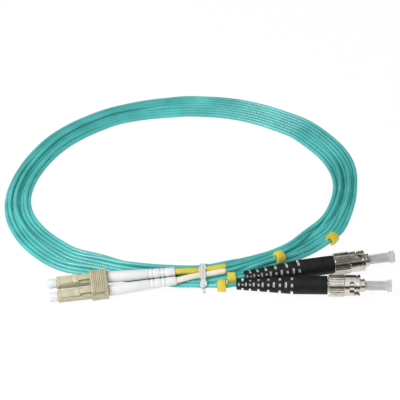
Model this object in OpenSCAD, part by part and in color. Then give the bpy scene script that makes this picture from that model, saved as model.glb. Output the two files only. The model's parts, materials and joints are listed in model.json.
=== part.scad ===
// Duplex fibre optic patch cord: a clipped pair of small square plugs on one end, two bayonet
// plugs on the other, and the two legs between them wound into an oval coil held by a tie.
// Millimetres. +X runs from the square plugs to the bayonet plugs, +Z is up from the surface.

/* [Cord] */
// Outside diameter of one leg
leg_d = 2; // [1.6:0.1:2.2]
// Diameter of the buffered fibre inside a leg
fibre_d = 0.9; // [0.6:0.05:1]
// Outside diameter of a colour sleeve
sleeve_d = 2.7; // [2.5:0.05:2.9]
// Length of a colour sleeve past its boot
sleeve_len = 22; // [12:1:26]

/* [Coil] */
// Height of the two layers of legs
coil_h = 3.8; // [3.2:0.1:4.2]
// Height of the single layer where plugs lie over it
coil_low_h = 2; // [1.7:0.1:2.2]

/* [Tie and markers] */
// Width of the tie along the bundle
tie_w = 3.6; // [2.5:0.1:4.2]
// Thickness of the tie
tie_t = 0.4; // [0.3:0.05:0.6]
// Length of the twisted tail
tie_tail = 4; // [3:0.5:8]
// Outside diameter of a ring marker
marker_d = 5.6; // [4.8:0.1:5.8]
// Length of a ring marker
marker_len = 4; // [3:0.1:4.2]
// Width of the mouth that lets a marker clip over a leg
marker_mouth = 1.4; // [1:0.1:1.8]

/* [Square plug] */
// Width and height of a plug housing
plug_w = 4.5; // [4.2:0.1:4.7]
// Length of a plug housing
plug_len = 19.5; // [18.9:0.1:20.5]
// Distance between the two plug axes
plug_pitch = 6.25; // [6.1:0.05:6.5]
// Diameter of the small ferrule
lc_ferrule_d = 1.25; // [1.2:0.01:1.3]
// How far the small ferrule stands out of its housing
lc_ferrule_out = 2; // [1:0.1:2.4]
// Diameter of the metal flange behind the small ferrule
lc_flange_d = 3.2; // [2.9:0.1:3.3]
// Length of the flange's thick front part
lc_flange_len = 2.1; // [1.6:0.1:2.4]
// Diameter of the chamber for flange and spring
lc_chamber_d = 3.5; // [3.4:0.05:3.6]
// Diameter of the front bore
lc_front_d = 2.8; // [2.7:0.05:2.9]
// Depth of the front bore
lc_front_depth = 4.4; // [4:0.1:4.8]
// Length of the installed small spring
lc_spring_len = 6.2; // [5.5:0.1:6.6]
// Wire of the small spring
lc_spring_wire = 0.36; // [0.3:0.01:0.38]
// Travel of the small ferrule into its plug
lc_travel = 1.4; // [0.8:0.1:1.5]
// Diameter of the spring push
backbone_d = 3.4; // [3.2:0.05:3.4]
// Length of the spring push inside the housing
backbone_len = 5.6; // [5:0.1:6]
// Outside diameter of the small crimp stem
lc_stem_d = 2.6; // [2.4:0.05:2.7]
// Length of the small crimp stem
lc_stem_len = 5; // [4:0.1:5.2]
// Wall of the small crimp ring
lc_ring_wall = 0.34; // [0.3:0.02:0.42]
// Length of the small boot
lc_boot_len = 29.9; // [24:0.1:31]
// Width of a ring groove in the small boot
lc_groove_w = 0.6; // [0.4:0.05:0.8]
// Depth of a ring groove in the small boot
lc_groove_depth = 0.35; // [0.2:0.05:0.5]
// Diameter of the small boot at the plug
lc_boot_front_d = 5.2; // [5:0.1:5.4]
// Diameter of the small boot at its free end
lc_boot_end_d = 3.8; // [3.4:0.1:4]
// Angle by which each small boot leans towards the other
lc_boot_toe = 1.9; // [0:0.1:2.2]
// Length of the small dust cap outside the housing
lc_cap_len = 3.9; // [3.4:0.1:5]
// Diameter of the small dust cap
lc_cap_d = 4.3; // [3.8:0.1:4.4]

/* [Latch and clip] */
// Width of the latch arm
latch_w = 2.3; // [1.8:0.1:2.6]
// Width over the latch shoulders
latch_shoulder_w = 4; // [3.2:0.1:4.2]
// Height of the latch end above the plug axis
latch_rise = 4.2; // [4:0.05:4.4]
// Length of the latch arm
latch_len = 15; // [14.6:0.1:15.4]
// Thickness of the latch arm
latch_t = 0.7; // [0.5:0.05:0.8]
// Distance from the plug face to the latch shoulders
shoulder_start = 7.6; // [7:0.1:8]
// Length of the latch shoulders
shoulder_len = 2; // [1.6:0.1:2.4]
// Angle through which the latches bend down
latch_swing = 4.6; // [3:0.1:4.8]
// Width of the duplex clip
clip_w = 12; // [11.8:0.1:12.4]
// Length of the duplex clip
clip_len = 7.5; // [7:0.1:7.5]
// Distance from the plug faces to the clip
clip_start = 14.6; // [14.2:0.1:14.8]
// Depth of the clip below the plug axes
clip_below = 2.6; // [2.5:0.05:2.7]
// Height of the clip deck above the plug axes
clip_above = 3; // [2.9:0.05:3.1]
// Height of the trigger's hinge above the plug axes
hinge_z = 4.1; // [4:0.05:4.3]
// Diameter of the trigger's hinge barrel
hinge_d = 1.4; // [1.2:0.1:1.5]
// Diameter of the trigger's hinge stubs
stub_d = 0.8; // [0.7:0.05:0.9]
// Thickness of the trigger plate
trigger_t = 0.9; // [0.7:0.05:1.1]
// Number of grip ribs on the trigger
rib_count = 6; // [3:1:8]
// Height of a grip rib
rib_h = 0.3; // [0.2:0.05:0.4]

/* [Bayonet plug] */
// Diameter of the large ferrule
st_ferrule_d = 2.5; // [2.4:0.01:2.6]
// How far the large ferrule stands out of its barrel
st_ferrule_out = 8.8; // [7:0.1:9.4]
// Diameter of the barrel under the spring
st_barrel_d = 4.8; // [4.6:0.1:4.9]
// Diameter of the barrel in front of its flange
st_front_d = 5.9; // [5.5:0.1:6.1]
// Diameter of the barrel's spring flange
st_flange_d = 7; // [6.8:0.1:7.2]
// Thickness of the barrel's spring flange
st_flange_t = 0.8; // [0.6:0.1:1]
// Diameter of the barrel's nose
st_nose_d = 4.4; // [4:0.1:4.5]
// Length of the barrel's nose
st_nose_len = 1.8; // [1.2:0.1:2]
// Height of the key above the plug's axis
key_h = 3.6; // [3.3:0.05:3.65]
// Width of the key
key_w = 1.2; // [1:0.1:1.6]
// Length of the key
key_len = 2.4; // [1.6:0.1:3]
// Diameter over the nut's knurl
nut_d = 9.8; // [9.4:0.1:10]
// Length of the nut's knurl
knurl_len = 7.6; // [6:0.1:8]
// Number of knurl teeth
knurl_teeth = 36; // [24:1:48]
// Depth of a knurl tooth
knurl_depth = 0.4; // [0.2:0.05:0.5]
// Diameter of the nut's bayonet sleeve
sleeve_od = 9.3; // [9:0.1:9.5]
// Inside diameter of the nut
nut_bore = 7.5; // [7.4:0.05:7.7]
// Whole length of the nut
nut_len = 14; // [13.8:0.1:14]
// Thickness of the nut's rear wall
nut_wall = 0.9; // [0.7:0.05:1]
// Depth of the recess behind the nut's rear wall
nut_recess = 0.75; // [0.7:0.05:0.8]
// Width of a bayonet slot
slot_w = 2.1; // [1.8:0.1:2.3]
// Angle through which the nut locks
slot_turn = 55; // [40:5:70]
// Travel of the nut against its spring
nut_travel = 1.2; // [0.8:0.1:1.4]
// Wire of the large spring
st_spring_wire = 0.5; // [0.4:0.02:0.5]
// Thickness of the spring washer
washer_t = 0.5; // [0.3:0.05:0.6]
// Outside diameter of the spring washer
washer_d = 7.1; // [6.6:0.1:7.1]
// Thickness of the retaining ring
clip_ring_t = 0.5; // [0.4:0.05:0.55]
// Outside diameter of the retaining ring
clip_ring_d = 6; // [5.6:0.1:6.2]
// Outside diameter of the large crimp stem
st_stem_d = 3.4; // [3.2:0.1:3.5]
// Length of the large crimp stem
st_stem_len = 7.6; // [6:0.1:8]
// Wall of the large crimp sleeve
st_sleeve_wall = 0.4; // [0.3:0.02:0.44]
// Length of the large boot
st_boot_len = 39.8; // [34:0.1:42]
// Diameter of the large boot at the nut
st_boot_front_d = 8.2; // [7.8:0.1:8.4]
// Diameter of the large boot at its free end
st_boot_end_d = 4.7; // [4.3:0.1:5]
// Length of the large boot's straight front part
st_boot_straight = 15.2; // [12:0.1:17]
// Number of grooves in the large boot
boot_grooves = 6; // [3:1:8]
// Depth of a groove in the large boot
groove_depth = 0.6; // [0.3:0.05:0.8]
// Diameter of the large dust cap's tube
st_cap_d = 4.1; // [3.8:0.1:4.4]
// Length of the large dust cap
st_cap_len = 13.5; // [12.6:0.1:14.5]
// Diameter of the large dust cap's end flange
st_cap_flange_d = 5.3; // [4.8:0.1:5.6]
// Length of the large dust cap's end flange
st_cap_flange_len = 2.2; // [1.5:0.1:3]

/* [Fits] */
// Radial clearance of a running fit
run_gap = 0.05; // [0.03:0.01:0.08]
// Clearance between pieces that are assembled face to face
seat_gap = 0.05; // [0.02:0.01:0.06]
// Radial clearance of a leg in its boot or sleeve
leg_gap = 0.1; // [0.06:0.01:0.15]

/* [Hidden] */
$fn = 48;

// Middle of the connectors' box, which becomes the origin.
origin = [8.69, -0.592, 0];

// Where the plugs lie: place, then roll, pitch and yaw of their long axis.
lc_at = [-63.5, -8.8, 4.75];
lc_turn = [23, 0, 9.3];
st_a_at = [57.8, 6.7, 4.9];
st_a_turn = [0, -2.6, 8];
st_b_at = [54.6, -6.1, 4.9];
st_b_turn = [0, -2.8, -3.5];

// Middle line of the coil, counter-clockwise from the tie, with half the band's width.
coil_points = [
    [0, 3.9, 3.8], [13, 7.7, 4], [26, 12.4, 4.6], [40.8, 19.2, 5],
    [52, 28.6, 5.3], [58.5, 35.5, 5.5], [62.9, 43, 5.7], [66.6, 54.2, 5.75],
    [68.2, 66, 6], [67.7, 78, 7.3], [63.8, 89.3, 8.3], [57.2, 99.2, 8.6],
    [49.5, 107.8, 9], [39.9, 113.9, 9.1], [30.4, 118.8, 9.1], [20.7, 122.4, 9],
    [11.1, 124.6, 8.8], [1.4, 125.5, 8.5], [-8, 125.8, 8.1], [-17.3, 124.7, 7.8],
    [-26.6, 123.3, 7.5], [-36, 120.9, 7.1], [-45.4, 117.5, 6.9], [-54.3, 112.3, 6.9],
    [-62.9, 105.9, 6.85], [-70.8, 98, 6.8], [-77.4, 88.5, 6.5], [-82.6, 77.8, 6.2],
    [-86.2, 66, 6], [-87.4, 53.4, 6.2], [-84.9, 41, 6.7], [-78.6, 30, 7.6],
    [-70, 20.9, 8.2], [-60.1, 13.9, 8], [-47, 9.9, 7], [-37, 6.6, 6.3],
    [-27, 5.1, 5.6], [-14, 4.2, 4.7]
];
coil_steps = 3;
// Corners of the stretch where plugs lie over the coil.
coil_low_from = [-54, -20];
coil_low_to = [26, 40];

// Where each leg lies between its boot and the coil.
leg_lc_a_points = [[-6, 3, 4.6], [-2, 4.1, 3.5], [2, 4.9, 3.5], [6, 5.9, 3.5], [10, 7, 3.5],
    [15, 8.8, 3.3], [20, 10.9, 3.1], [25, 13.4, 2.9], [30, 16.1, 2.8]];
leg_lc_b_points = [[-6, -0.1, 3.8], [-2, 1.1, 3.5], [2, 2, 3.5], [6, 3, 3.5], [10, 4.2, 3.4],
    [15, 6.2, 3.2], [20, 8.4, 3], [25, 10.9, 2.9], [30, 13.6, 2.8]];
leg_st_a_points = [[-16, 0.4, 1], [-10, -0.3, 1], [-4, -0.9, 1.5], [0, -1, 1.5], [4, -0.7, 1.8],
    [8, -0.2, 2.4], [10.6, 0.1, 2.9], [14.6, 0.4, 2.9]];
leg_st_b_points = [[-16, -1.8, 1], [-10, -2.4, 1], [-4, -2.9, 1.5], [0, -3.1, 1.5], [3, -3.6, 2.1],
    [6, -4.4, 2.9], [10.4, -4.55, 2.9]];

// The tie's loop in the plane across the bundle: middle, width and height.
tie_middle = [1.75, 2.65];
tie_span = [13.3, 5.3];

// Where each ring marker sits, and which way its leg runs.
marker_1_at = [8.2, -4.475, 2.9];
marker_1_yaw = -2;
marker_2_at = [12.6, 0.25, 2.9];
marker_2_yaw = 4;
marker_3_at = [34.3, 12.6, 4.2];
marker_3_yaw = 28;
marker_4_at = [59, 25.6, 2.9];
marker_4_yaw = 55;

// Mechanism sizes that follow from the ones above.
half_pitch = plug_pitch / 2;
lc_flange_start = lc_front_depth + seat_gap;
lc_tail_start = lc_flange_start + lc_flange_len;
lc_tail_len = 2.4;
lc_tail_d = 2;
lc_spring_start = lc_tail_start + seat_gap;
lc_spring_end = lc_spring_start + lc_spring_len;
backbone_start = lc_spring_end + seat_gap;
backbone_end = backbone_start + backbone_len;
lc_stem_end = backbone_end + lc_stem_len;
lc_ring_start = backbone_end + seat_gap;
lc_ring_id = lc_stem_d + 2 * seat_gap;
lc_ring_od = lc_ring_id + 2 * lc_ring_wall;
// The chamber always lets the crimp ring in.
lc_bore_d = max(lc_chamber_d, lc_ring_od + 2 * run_gap);
lc_ring_end = lc_stem_end + 0.5;
lc_boot_start = clip_start + clip_len + 0.1;
lc_boot_end = lc_boot_start + lc_boot_len;
lc_leg_start = lc_ring_end + 0.5;
// Places of the ring grooves as shares of the small boot's length.
lc_groove_shares = [0.6, 0.655, 0.77, 0.825];
latch_root = [1.3, 2.3];
latch_root_d = 1;
hinge_x = clip_start + clip_len - 0.9;
ear_t = 0.7;
trigger_half = clip_w / 2 - ear_t - 2 * run_gap;
st_wall_start = nut_recess;
st_washer_start = st_wall_start + nut_wall + seat_gap;
st_spring_start = st_washer_start + washer_t + seat_gap;
st_flange_start = 8.2;
st_front_end = nut_len;
st_barrel_rear = -1.5;
st_stem_rear = st_barrel_rear - st_stem_len;
st_sleeve_id = st_stem_d + 2 * seat_gap;
st_sleeve_od = st_sleeve_id + 2 * st_sleeve_wall;
st_boot_front = -0.2;
st_leg_start = st_stem_rear - 1;
st_seat_depth = 5;
st_cap_start = st_front_end + 0.15;
st_cap_cup = 2.25;
st_cap_end = st_cap_start + st_cap_len;

// ---- Helpers ----

function unit(v) = v / norm(v);
function turn(v, t) = [
    [cos(t[2]), -sin(t[2]), 0],
    [sin(t[2]), cos(t[2]), 0],
    [0, 0, 1]
] * ([
    [cos(t[1]), 0, sin(t[1])],
    [0, 1, 0],
    [-sin(t[1]), 0, cos(t[1])]
] * ([
    [1, 0, 0],
    [0, cos(t[0]), -sin(t[0])],
    [0, sin(t[0]), cos(t[0])]
] * v));
function lc_point(v) = lc_at + turn(v, lc_turn);
function lc_boot_point(side, x) = lc_point([
    lc_boot_start + (x - lc_boot_start) * cos(lc_boot_toe),
    side * (half_pitch - (x - lc_boot_start) * sin(lc_boot_toe)),
    0
]);
function st_point(at, t, x) = at + turn([x, 0, 0], t);
function route_at(points, x) = [
    x, lookup(x, [for (p = points) [p[0], p[1]]]), lookup(x, [for (p = points) [p[0], p[2]]])
];

// A closed smooth curve through points: place and width at step k of each stretch.
function wrap(list, i) = list[(i + 2 * len(list)) % len(list)];
function catmull(p0, p1, p2, p3, u) =
    p1 + (p2 - p0) * u / 2 + (2 * p0 - 5 * p1 + 4 * p2 - p3) * u * u / 2
    + (3 * p1 - p0 - 3 * p2 + p3) * u * u * u / 2;
function closed_curve(list, steps) = [
    for (i = [0 : len(list) - 1], k = [0 : steps - 1])
        catmull(wrap(list, i - 1), wrap(list, i), wrap(list, i + 1), wrap(list, i + 2), k / steps)
];
// The curve shifted sideways by a share of its own half width.
function shifted(curve, share) = [
    for (i = [0 : len(curve) - 1])
        let (d = unit([for (a = [0, 1]) wrap(curve, i + 1)[a] - wrap(curve, i - 1)[a]]))
        [curve[i][0] + d[1] * curve[i][2] * share, curve[i][1] - d[0] * curve[i][2] * share]
];

module along_x(from, to, d, d2 = undef) {
    translate([from, 0, 0]) rotate([0, 90, 0])
        cylinder(h = to - from, d1 = d, d2 = is_undef(d2) ? d : d2);
}
module tube_x(from, to, od, id) {
    difference() {
        along_x(from, to, od);
        along_x(from - 1, to + 1, id);
    }
}
module box_x(from, to, half_y, z0, z1) {
    translate([from, -half_y, z0]) cube([to - from, 2 * half_y, z1 - z0]);
}
// A flat outline in the X-Z plane given a width along Y.
module plate_y(half_y, outline) {
    translate([0, half_y, 0]) rotate([90, 0, 0]) linear_extrude(2 * half_y) polygon(outline);
}
// A square bar along X with bevelled long edges.
module bar_x(from, to, w, bevel) {
    h = w / 2;
    b = h - bevel;
    translate([from, 0, 0]) rotate([90, 0, 90]) linear_extrude(to - from)
        polygon([[-b, -h], [b, -h], [h, -b], [h, b], [b, h], [-b, h], [-h, b], [-h, -b]]);
}
// A round bar swept along points, with flat ends across its own direction.
module swept(points, d, sides = 8) {
    n = len(points);
    rings = [
        for (i = [0 : n - 1])
            let (
                t = unit(points[min(i + 1, n - 1)] - points[max(i - 1, 0)]),
                s = unit(cross(t, [0, 0, 1])),
                u = cross(s, t)
            )
            for (k = [0 : sides - 1])
                points[i] + d / 2 * (cos(360 * k / sides) * s + sin(360 * k / sides) * u)
    ];
    walls = [
        for (i = [0 : n - 2], k = [0 : sides - 1])
            [i * sides + k, i * sides + (k + 1) % sides,
                (i + 1) * sides + (k + 1) % sides, (i + 1) * sides + k]
    ];
    start_cap = [for (k = [0 : sides - 1]) sides - 1 - k];
    end_cap = [for (k = [0 : sides - 1]) (n - 1) * sides + k];
    polyhedron(rings, concat(walls, [start_cap, end_cap]));
}
// A coil spring of round wire along X.
module spring_x(from, to, middle_d, wire, turns, sides = 5, per_turn = 12) {
    steps = turns * per_turn;
    run = to - from - wire;
    points = [
        for (i = [0 : steps])
            [from + wire / 2 + run * i / steps, middle_d / 2 * cos(360 * i / per_turn),
                middle_d / 2 * sin(360 * i / per_turn)]
    ];
    rings = [
        for (i = [0 : steps], k = [0 : sides - 1])
            let (
                out = [0, cos(360 * i / per_turn), sin(360 * i / per_turn)],
                a = 360 * k / sides
            )
            points[i] + wire / 2 * (cos(a) * out + sin(a) * [1, 0, 0])
    ];
    walls = [
        for (i = [0 : steps - 1], k = [0 : sides - 1])
            [i * sides + k, (i + 1) * sides + k,
                (i + 1) * sides + (k + 1) % sides, i * sides + (k + 1) % sides]
    ];
    start_cap = [for (k = [0 : sides - 1]) k];
    end_cap = [for (k = [0 : sides - 1]) steps * sides + sides - 1 - k];
    polyhedron(rings, concat(walls, [start_cap, end_cap]));
}

// ---- Places ----

module on_surface() { translate(-origin) children(); }
module lc_place(side = 0) {
    on_surface() translate(lc_at) rotate(lc_turn) translate([0, side * half_pitch, 0]) children();
}
module st_place(at, t) { on_surface() translate(at) rotate(t) children(); }

// ---- Square plugs ----

// Square shell with a front bore for the ferrule and cap, and a chamber open to the rear.
module lc_housing(side) {
    color([0.80, 0.77, 0.64]) lc_place(side) difference() {
        bar_x(0, plug_len, plug_w, 0.3);
        along_x(-1, lc_front_depth + 1, lc_front_d);
        along_x(lc_front_depth, plug_len + 1, lc_bore_d);
        translate([latch_root[0], 0, latch_root[1]]) rotate([90, 0, 0])
            cylinder(h = latch_w + 4 * run_gap, d = latch_root_d + 2 * run_gap, center = true);
    }
}

// Sprung arm with two shoulders; it bends about its round root.
module lc_latch(side) {
    root_r = latch_root_d / 2;
    top = latch_rise;
    under = plug_w / 2 + 0.1;
    shoulder_end = shoulder_start + shoulder_len;
    color([0.80, 0.77, 0.64]) lc_place(side) union() {
        translate([latch_root[0], 0, latch_root[1]]) rotate([90, 0, 0])
            cylinder(h = latch_w, d = latch_root_d, center = true);
        plate_y(latch_w / 2, [
            [latch_root[0] + 0.1, under], [latch_root[0] + 1.2, under], [latch_len, top - latch_t],
            [latch_len, top], [latch_root[0], latch_root[1] + root_r]
        ]);
        plate_y(latch_shoulder_w / 2, [
            [shoulder_start, under + 0.52], [shoulder_end, under + 0.7],
            [shoulder_end, top - 0.6], [shoulder_start + 0.6, top - 0.7],
            [shoulder_start, top - 1.1]
        ]);
    }
}

module lc_ferrule(side) {
    color([0.95, 0.95, 0.93]) lc_place(side) difference() {
        along_x(-lc_ferrule_out, lc_tail_start + lc_tail_len - 0.5, lc_ferrule_d);
        along_x(-lc_ferrule_out - 1, lc_tail_start + lc_tail_len, 0.13);
    }
}

module lc_flange(side) {
    color([0.75, 0.75, 0.77]) lc_place(side) difference() {
        union() {
            along_x(lc_flange_start, lc_tail_start, lc_flange_d);
            along_x(lc_tail_start, lc_tail_start + lc_tail_len, lc_tail_d);
        }
        along_x(0, lc_tail_start + lc_tail_len + 1, lc_ferrule_d + 0.02);
    }
}

module lc_spring(side) {
    color([0.7, 0.7, 0.72]) lc_place(side)
        spring_x(lc_spring_start, lc_spring_end, lc_tail_d + lc_spring_wire + 0.24, lc_spring_wire, 6);
}

module lc_backbone(side) {
    color([0.80, 0.77, 0.64]) lc_place(side) difference() {
        union() {
            along_x(backbone_start, backbone_end, backbone_d);
            along_x(backbone_end, lc_stem_end, lc_stem_d);
        }
        along_x(backbone_start - 1, lc_stem_end + 1, fibre_d + 2 * leg_gap);
    }
}

module lc_crimp_ring(side) {
    color([0.75, 0.75, 0.77]) lc_place(side)
        tube_x(lc_ring_start, lc_ring_end, lc_ring_od, lc_ring_id);
}

module lc_fibre(side) {
    color([0.2, 0.7, 0.7]) lc_place(side)
        along_x(lc_tail_start + lc_tail_len + lc_travel + 0.1, lc_ring_end, fibre_d);
}

// Flexible sleeve over the crimp ring and the leg; each leans in towards the other.
module lc_boot(side) {
    color([0.93, 0.93, 0.93]) lc_place(side)
        translate([lc_boot_start, 0, 0]) rotate([0, 0, -side * lc_boot_toe]) difference() {
            along_x(0, lc_boot_len, lc_boot_front_d, lc_boot_end_d);
            along_x(-1, lc_ring_end - lc_boot_start + 0.4, lc_ring_od + 0.5);
            along_x(0, lc_boot_len + 1, leg_d + 2 * leg_gap);
            for (share = lc_groove_shares)
                tube_x(share * lc_boot_len, share * lc_boot_len + lc_groove_w, lc_boot_front_d + 1,
                    lc_boot_front_d - (lc_boot_front_d - lc_boot_end_d) * share - 2 * lc_groove_depth);
        }
}

// Push-on cap: a spigot over the ferrule inside the front bore, and a plain knob outside.
module lc_dust_cap(side) {
    color([0.92, 0.92, 0.92]) lc_place(side) difference() {
        union() {
            along_x(-lc_cap_len, -seat_gap, lc_cap_d);
            along_x(-seat_gap, lc_front_depth - 0.6, lc_front_d - 4 * run_gap);
        }
        along_x(-lc_ferrule_out - 0.6, lc_front_depth + 1, lc_ferrule_d + 2 * run_gap);
    }
}

// Block that holds both housings side by side, open in front of the hinge for the latch ends.
module duplex_clip() {
    deck_start = clip_start + 1.9;
    clip_end = clip_start + clip_len;
    window = plug_w + 2 * seat_gap;
    color([0.80, 0.77, 0.64]) lc_place() difference() {
        union() {
            box_x(clip_start, clip_end, clip_w / 2, -clip_below, plug_w / 2);
            box_x(deck_start, clip_end, clip_w / 2, plug_w / 2, clip_above);
            for (side = [-1, 1])
                translate([0, side * (clip_w - ear_t) / 2, 0])
                    box_x(hinge_x - 1, clip_end, ear_t / 2, clip_above - 0.1, hinge_z + 0.75);
        }
        for (side = [-1, 1])
            translate([0, side * half_pitch, 0])
                box_x(clip_start - 1, clip_end + 1, window / 2, -window / 2, window / 2);
        translate([hinge_x, 0, hinge_z]) rotate([90, 0, 0])
            cylinder(h = clip_w + 2, d = stub_d + 2 * run_gap, center = true);
    }
}

// Ribbed lever over both latch ends, turning on stubs in the clip's ears.
module duplex_trigger() {
    front = clip_start - 0.1;
    nose = latch_rise + seat_gap;
    barrel_r = hinge_d / 2;
    crown = nose + trigger_t + 0.35;
    color([0.80, 0.77, 0.64]) lc_place() union() {
        plate_y(trigger_half, [
            [front, nose], [latch_len + 0.3, nose], [latch_len + 1.2, nose + 0.1],
            [hinge_x, hinge_z - 0.1], [hinge_x, hinge_z + barrel_r], [front + 1, crown],
            [front, crown - 0.4]
        ]);
        translate([hinge_x, 0, hinge_z]) rotate([90, 0, 0]) {
            cylinder(h = 2 * trigger_half, d = hinge_d, center = true);
            cylinder(h = clip_w, d = stub_d, center = true);
        }
        for (i = [0 : rib_count - 1])
            let (x = front + 1.1 + i * 4.6 / rib_count)
            plate_y(trigger_half, [
                [x, crown - 0.5], [x + 0.36, crown - 0.5],
                [x + 0.36, crown + rib_h - (x - front - 1) * 0.13],
                [x, crown + rib_h - (x - front - 1) * 0.13]
            ]);
    }
}

// ---- Bayonet plugs ----

// Metal barrel: crimp stem, spring seat, flange, front with its key, and nose.
module st_barrel(at, t) {
    color([0.72, 0.72, 0.74]) st_place(at, t) difference() {
        union() {
            along_x(st_stem_rear, st_barrel_rear, st_stem_d);
            along_x(st_barrel_rear, st_flange_start, st_barrel_d);
            along_x(st_flange_start, st_flange_start + st_flange_t, st_flange_d);
            along_x(st_flange_start + st_flange_t, st_front_end, st_front_d);
            along_x(st_front_end, st_front_end + st_nose_len, st_nose_d);
            box_x(st_front_end - key_len, st_front_end, key_w / 2, 0.3 * st_front_d, key_h);
        }
        along_x(st_stem_rear - 1, st_seat_depth + 1, fibre_d + 2 * leg_gap);
        along_x(st_seat_depth, st_front_end + st_nose_len + 1, st_ferrule_d + 0.02);
    }
}

module st_ferrule(at, t) {
    color([0.95, 0.95, 0.93]) st_place(at, t) difference() {
        along_x(st_seat_depth + 0.02, st_front_end + st_nose_len + st_ferrule_out, st_ferrule_d);
        along_x(0, st_front_end + st_nose_len + st_ferrule_out + 1, 0.14);
    }
}

module st_spring(at, t) {
    color([0.7, 0.7, 0.72]) st_place(at, t)
        spring_x(st_spring_start, st_flange_start - seat_gap,
            st_barrel_d + st_spring_wire + 0.4, st_spring_wire, 5);
}

module st_washer(at, t) {
    color([0.7, 0.7, 0.72]) st_place(at, t)
        tube_x(st_washer_start, st_washer_start + washer_t, washer_d, st_barrel_d + 2 * run_gap);
}

// Split ring on the barrel that stops the nut from sliding back.
module st_clip_ring(at, t) {
    color([0.6, 0.6, 0.62]) st_place(at, t) difference() {
        tube_x(st_wall_start - clip_ring_t - seat_gap, st_wall_start - seat_gap,
            clip_ring_d, st_barrel_d + 0.02);
        box_x(-1, st_wall_start + 1, 0.5, -clip_ring_d, 0);
    }
}

// Knurled nut with two bayonet slots: straight entry, turn, and a round seat for the lug.
module st_nut(at, t) {
    tip = 360 / knurl_teeth;
    slot_x = knurl_len + 1.5 + slot_w / 2;
    color([0.72, 0.72, 0.74]) st_place(at, t) difference() {
        union() {
            rotate([0, 90, 0]) linear_extrude(knurl_len) polygon([
                for (k = [0 : knurl_teeth - 1], j = [0 : 3])
                    let (a = tip * (k + [0, 0.3, 0.5, 0.8][j]), r = nut_d / 2 - (j < 2 ? 0 : knurl_depth))
                    [r * cos(a), r * sin(a)]
            ]);
            along_x(knurl_len, nut_len, sleeve_od);
        }
        along_x(-1, nut_recess, clip_ring_d + 0.6);
        along_x(nut_recess - 1, nut_recess + nut_wall + 1, st_barrel_d + 2 * run_gap);
        along_x(nut_recess + nut_wall, nut_len + 1, nut_bore);
        for (side = [0, 180]) rotate([side, 0, 0]) {
            box_x(slot_x - slot_w / 2, nut_len + 1, slot_w / 2, nut_bore / 2 - 0.5, nut_d);
            rotate([0, 90, 0]) translate([0, 0, slot_x - slot_w / 2])
                rotate([0, 0, 180 - slot_turn]) rotate_extrude(angle = slot_turn)
                    translate([nut_bore / 2 - 0.5, 0]) square([3, slot_w]);
            rotate([-slot_turn, 0, 0]) translate([slot_x, 0, 0]) cylinder(h = nut_d, d = slot_w + 0.4);
        }
    }
}

module st_crimp_sleeve(at, t) {
    color([0.75, 0.75, 0.77]) st_place(at, t)
        tube_x(st_stem_rear - 0.4, st_barrel_rear - seat_gap, st_sleeve_od, st_sleeve_id);
}

module st_fibre(at, t) {
    color([0.2, 0.7, 0.7]) st_place(at, t) along_x(st_stem_rear - 0.4, st_seat_depth - 0.1, fibre_d);
}

// Black boot: straight in front, then tapering and grooved towards the leg.
module st_boot(at, t) {
    rear = st_boot_front - st_boot_len;
    knee = st_boot_front - st_boot_straight;
    step = (knee - rear) / boot_grooves;
    color([0.13, 0.14, 0.14]) st_place(at, t) difference() {
        union() {
            along_x(rear, knee, st_boot_end_d, st_boot_front_d);
            along_x(knee, st_boot_front, st_boot_front_d);
        }
        along_x(rear - 1, st_boot_front, leg_d + 2 * leg_gap);
        along_x(st_stem_rear - 0.8, st_boot_front + 1, st_sleeve_od + 0.1);
        along_x(st_barrel_rear - 0.1, st_boot_front + 1, st_barrel_d + 0.1);
        for (i = [1 : boot_grooves])
            let (
                x = rear + i * step - 0.6,
                d = st_boot_end_d + (st_boot_front_d - st_boot_end_d) * (x - rear) / (knee - rear)
            )
            tube_x(x - 0.5, x + 0.5, d + 3, d - 2 * groove_depth);
    }
}

// Frosted cap: a cup over the barrel's nose, a tube over the ferrule and an end flange.
module st_dust_cap(at, t) {
    cup_end = st_cap_start + st_cap_cup;
    color([0.85, 0.86, 0.86]) st_place(at, t) difference() {
        union() {
            along_x(st_cap_start, cup_end, st_front_d);
            along_x(cup_end, cup_end + 0.9, st_front_d, st_cap_d);
            along_x(cup_end, st_cap_end, st_cap_d);
            along_x(st_cap_end - st_cap_flange_len, st_cap_end, st_cap_flange_d);
        }
        along_x(st_cap_start - 1, st_front_end + st_nose_len + 0.1, st_nose_d + 2 * run_gap);
        along_x(st_cap_start, st_cap_end - 1, st_ferrule_d + 2 * run_gap);
    }
}

// ---- Cord ----

// Outer shape of the wound legs: two layers, and one where the plugs lie over it.
module cable_coil() {
    curve = closed_curve(coil_points, coil_steps);
    module band(h) {
        linear_extrude(h) difference() {
            polygon(shifted(curve, 1));
            polygon(shifted(curve, -1));
        }
    }
    color([0.36, 0.80, 0.76]) on_surface() difference() {
        band(coil_h);
        translate([coil_low_from[0], coil_low_from[1], coil_low_h])
            cube([coil_low_to[0] - coil_low_from[0], coil_low_to[1] - coil_low_from[1], coil_h]);
        translate([-tie_w / 2 - 2 * seat_gap, tie_middle[0] - tie_span[0], -coil_h])
            cube([tie_w + 4 * seat_gap, 2 * tie_span[0], coil_h + tie_t + seat_gap]);
    }
}

module leg_to_lc(side, points) {
    color([0.36, 0.80, 0.76]) on_surface() swept(concat(
        [lc_boot_point(side, lc_leg_start), lc_boot_point(side, lc_boot_end)], points), leg_d);
}
module leg_to_st(at, t, points) {
    color([0.36, 0.80, 0.76]) on_surface() swept(concat(points,
        [st_point(at, t, st_boot_front - st_boot_len), st_point(at, t, st_leg_start)]), leg_d);
}

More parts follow.
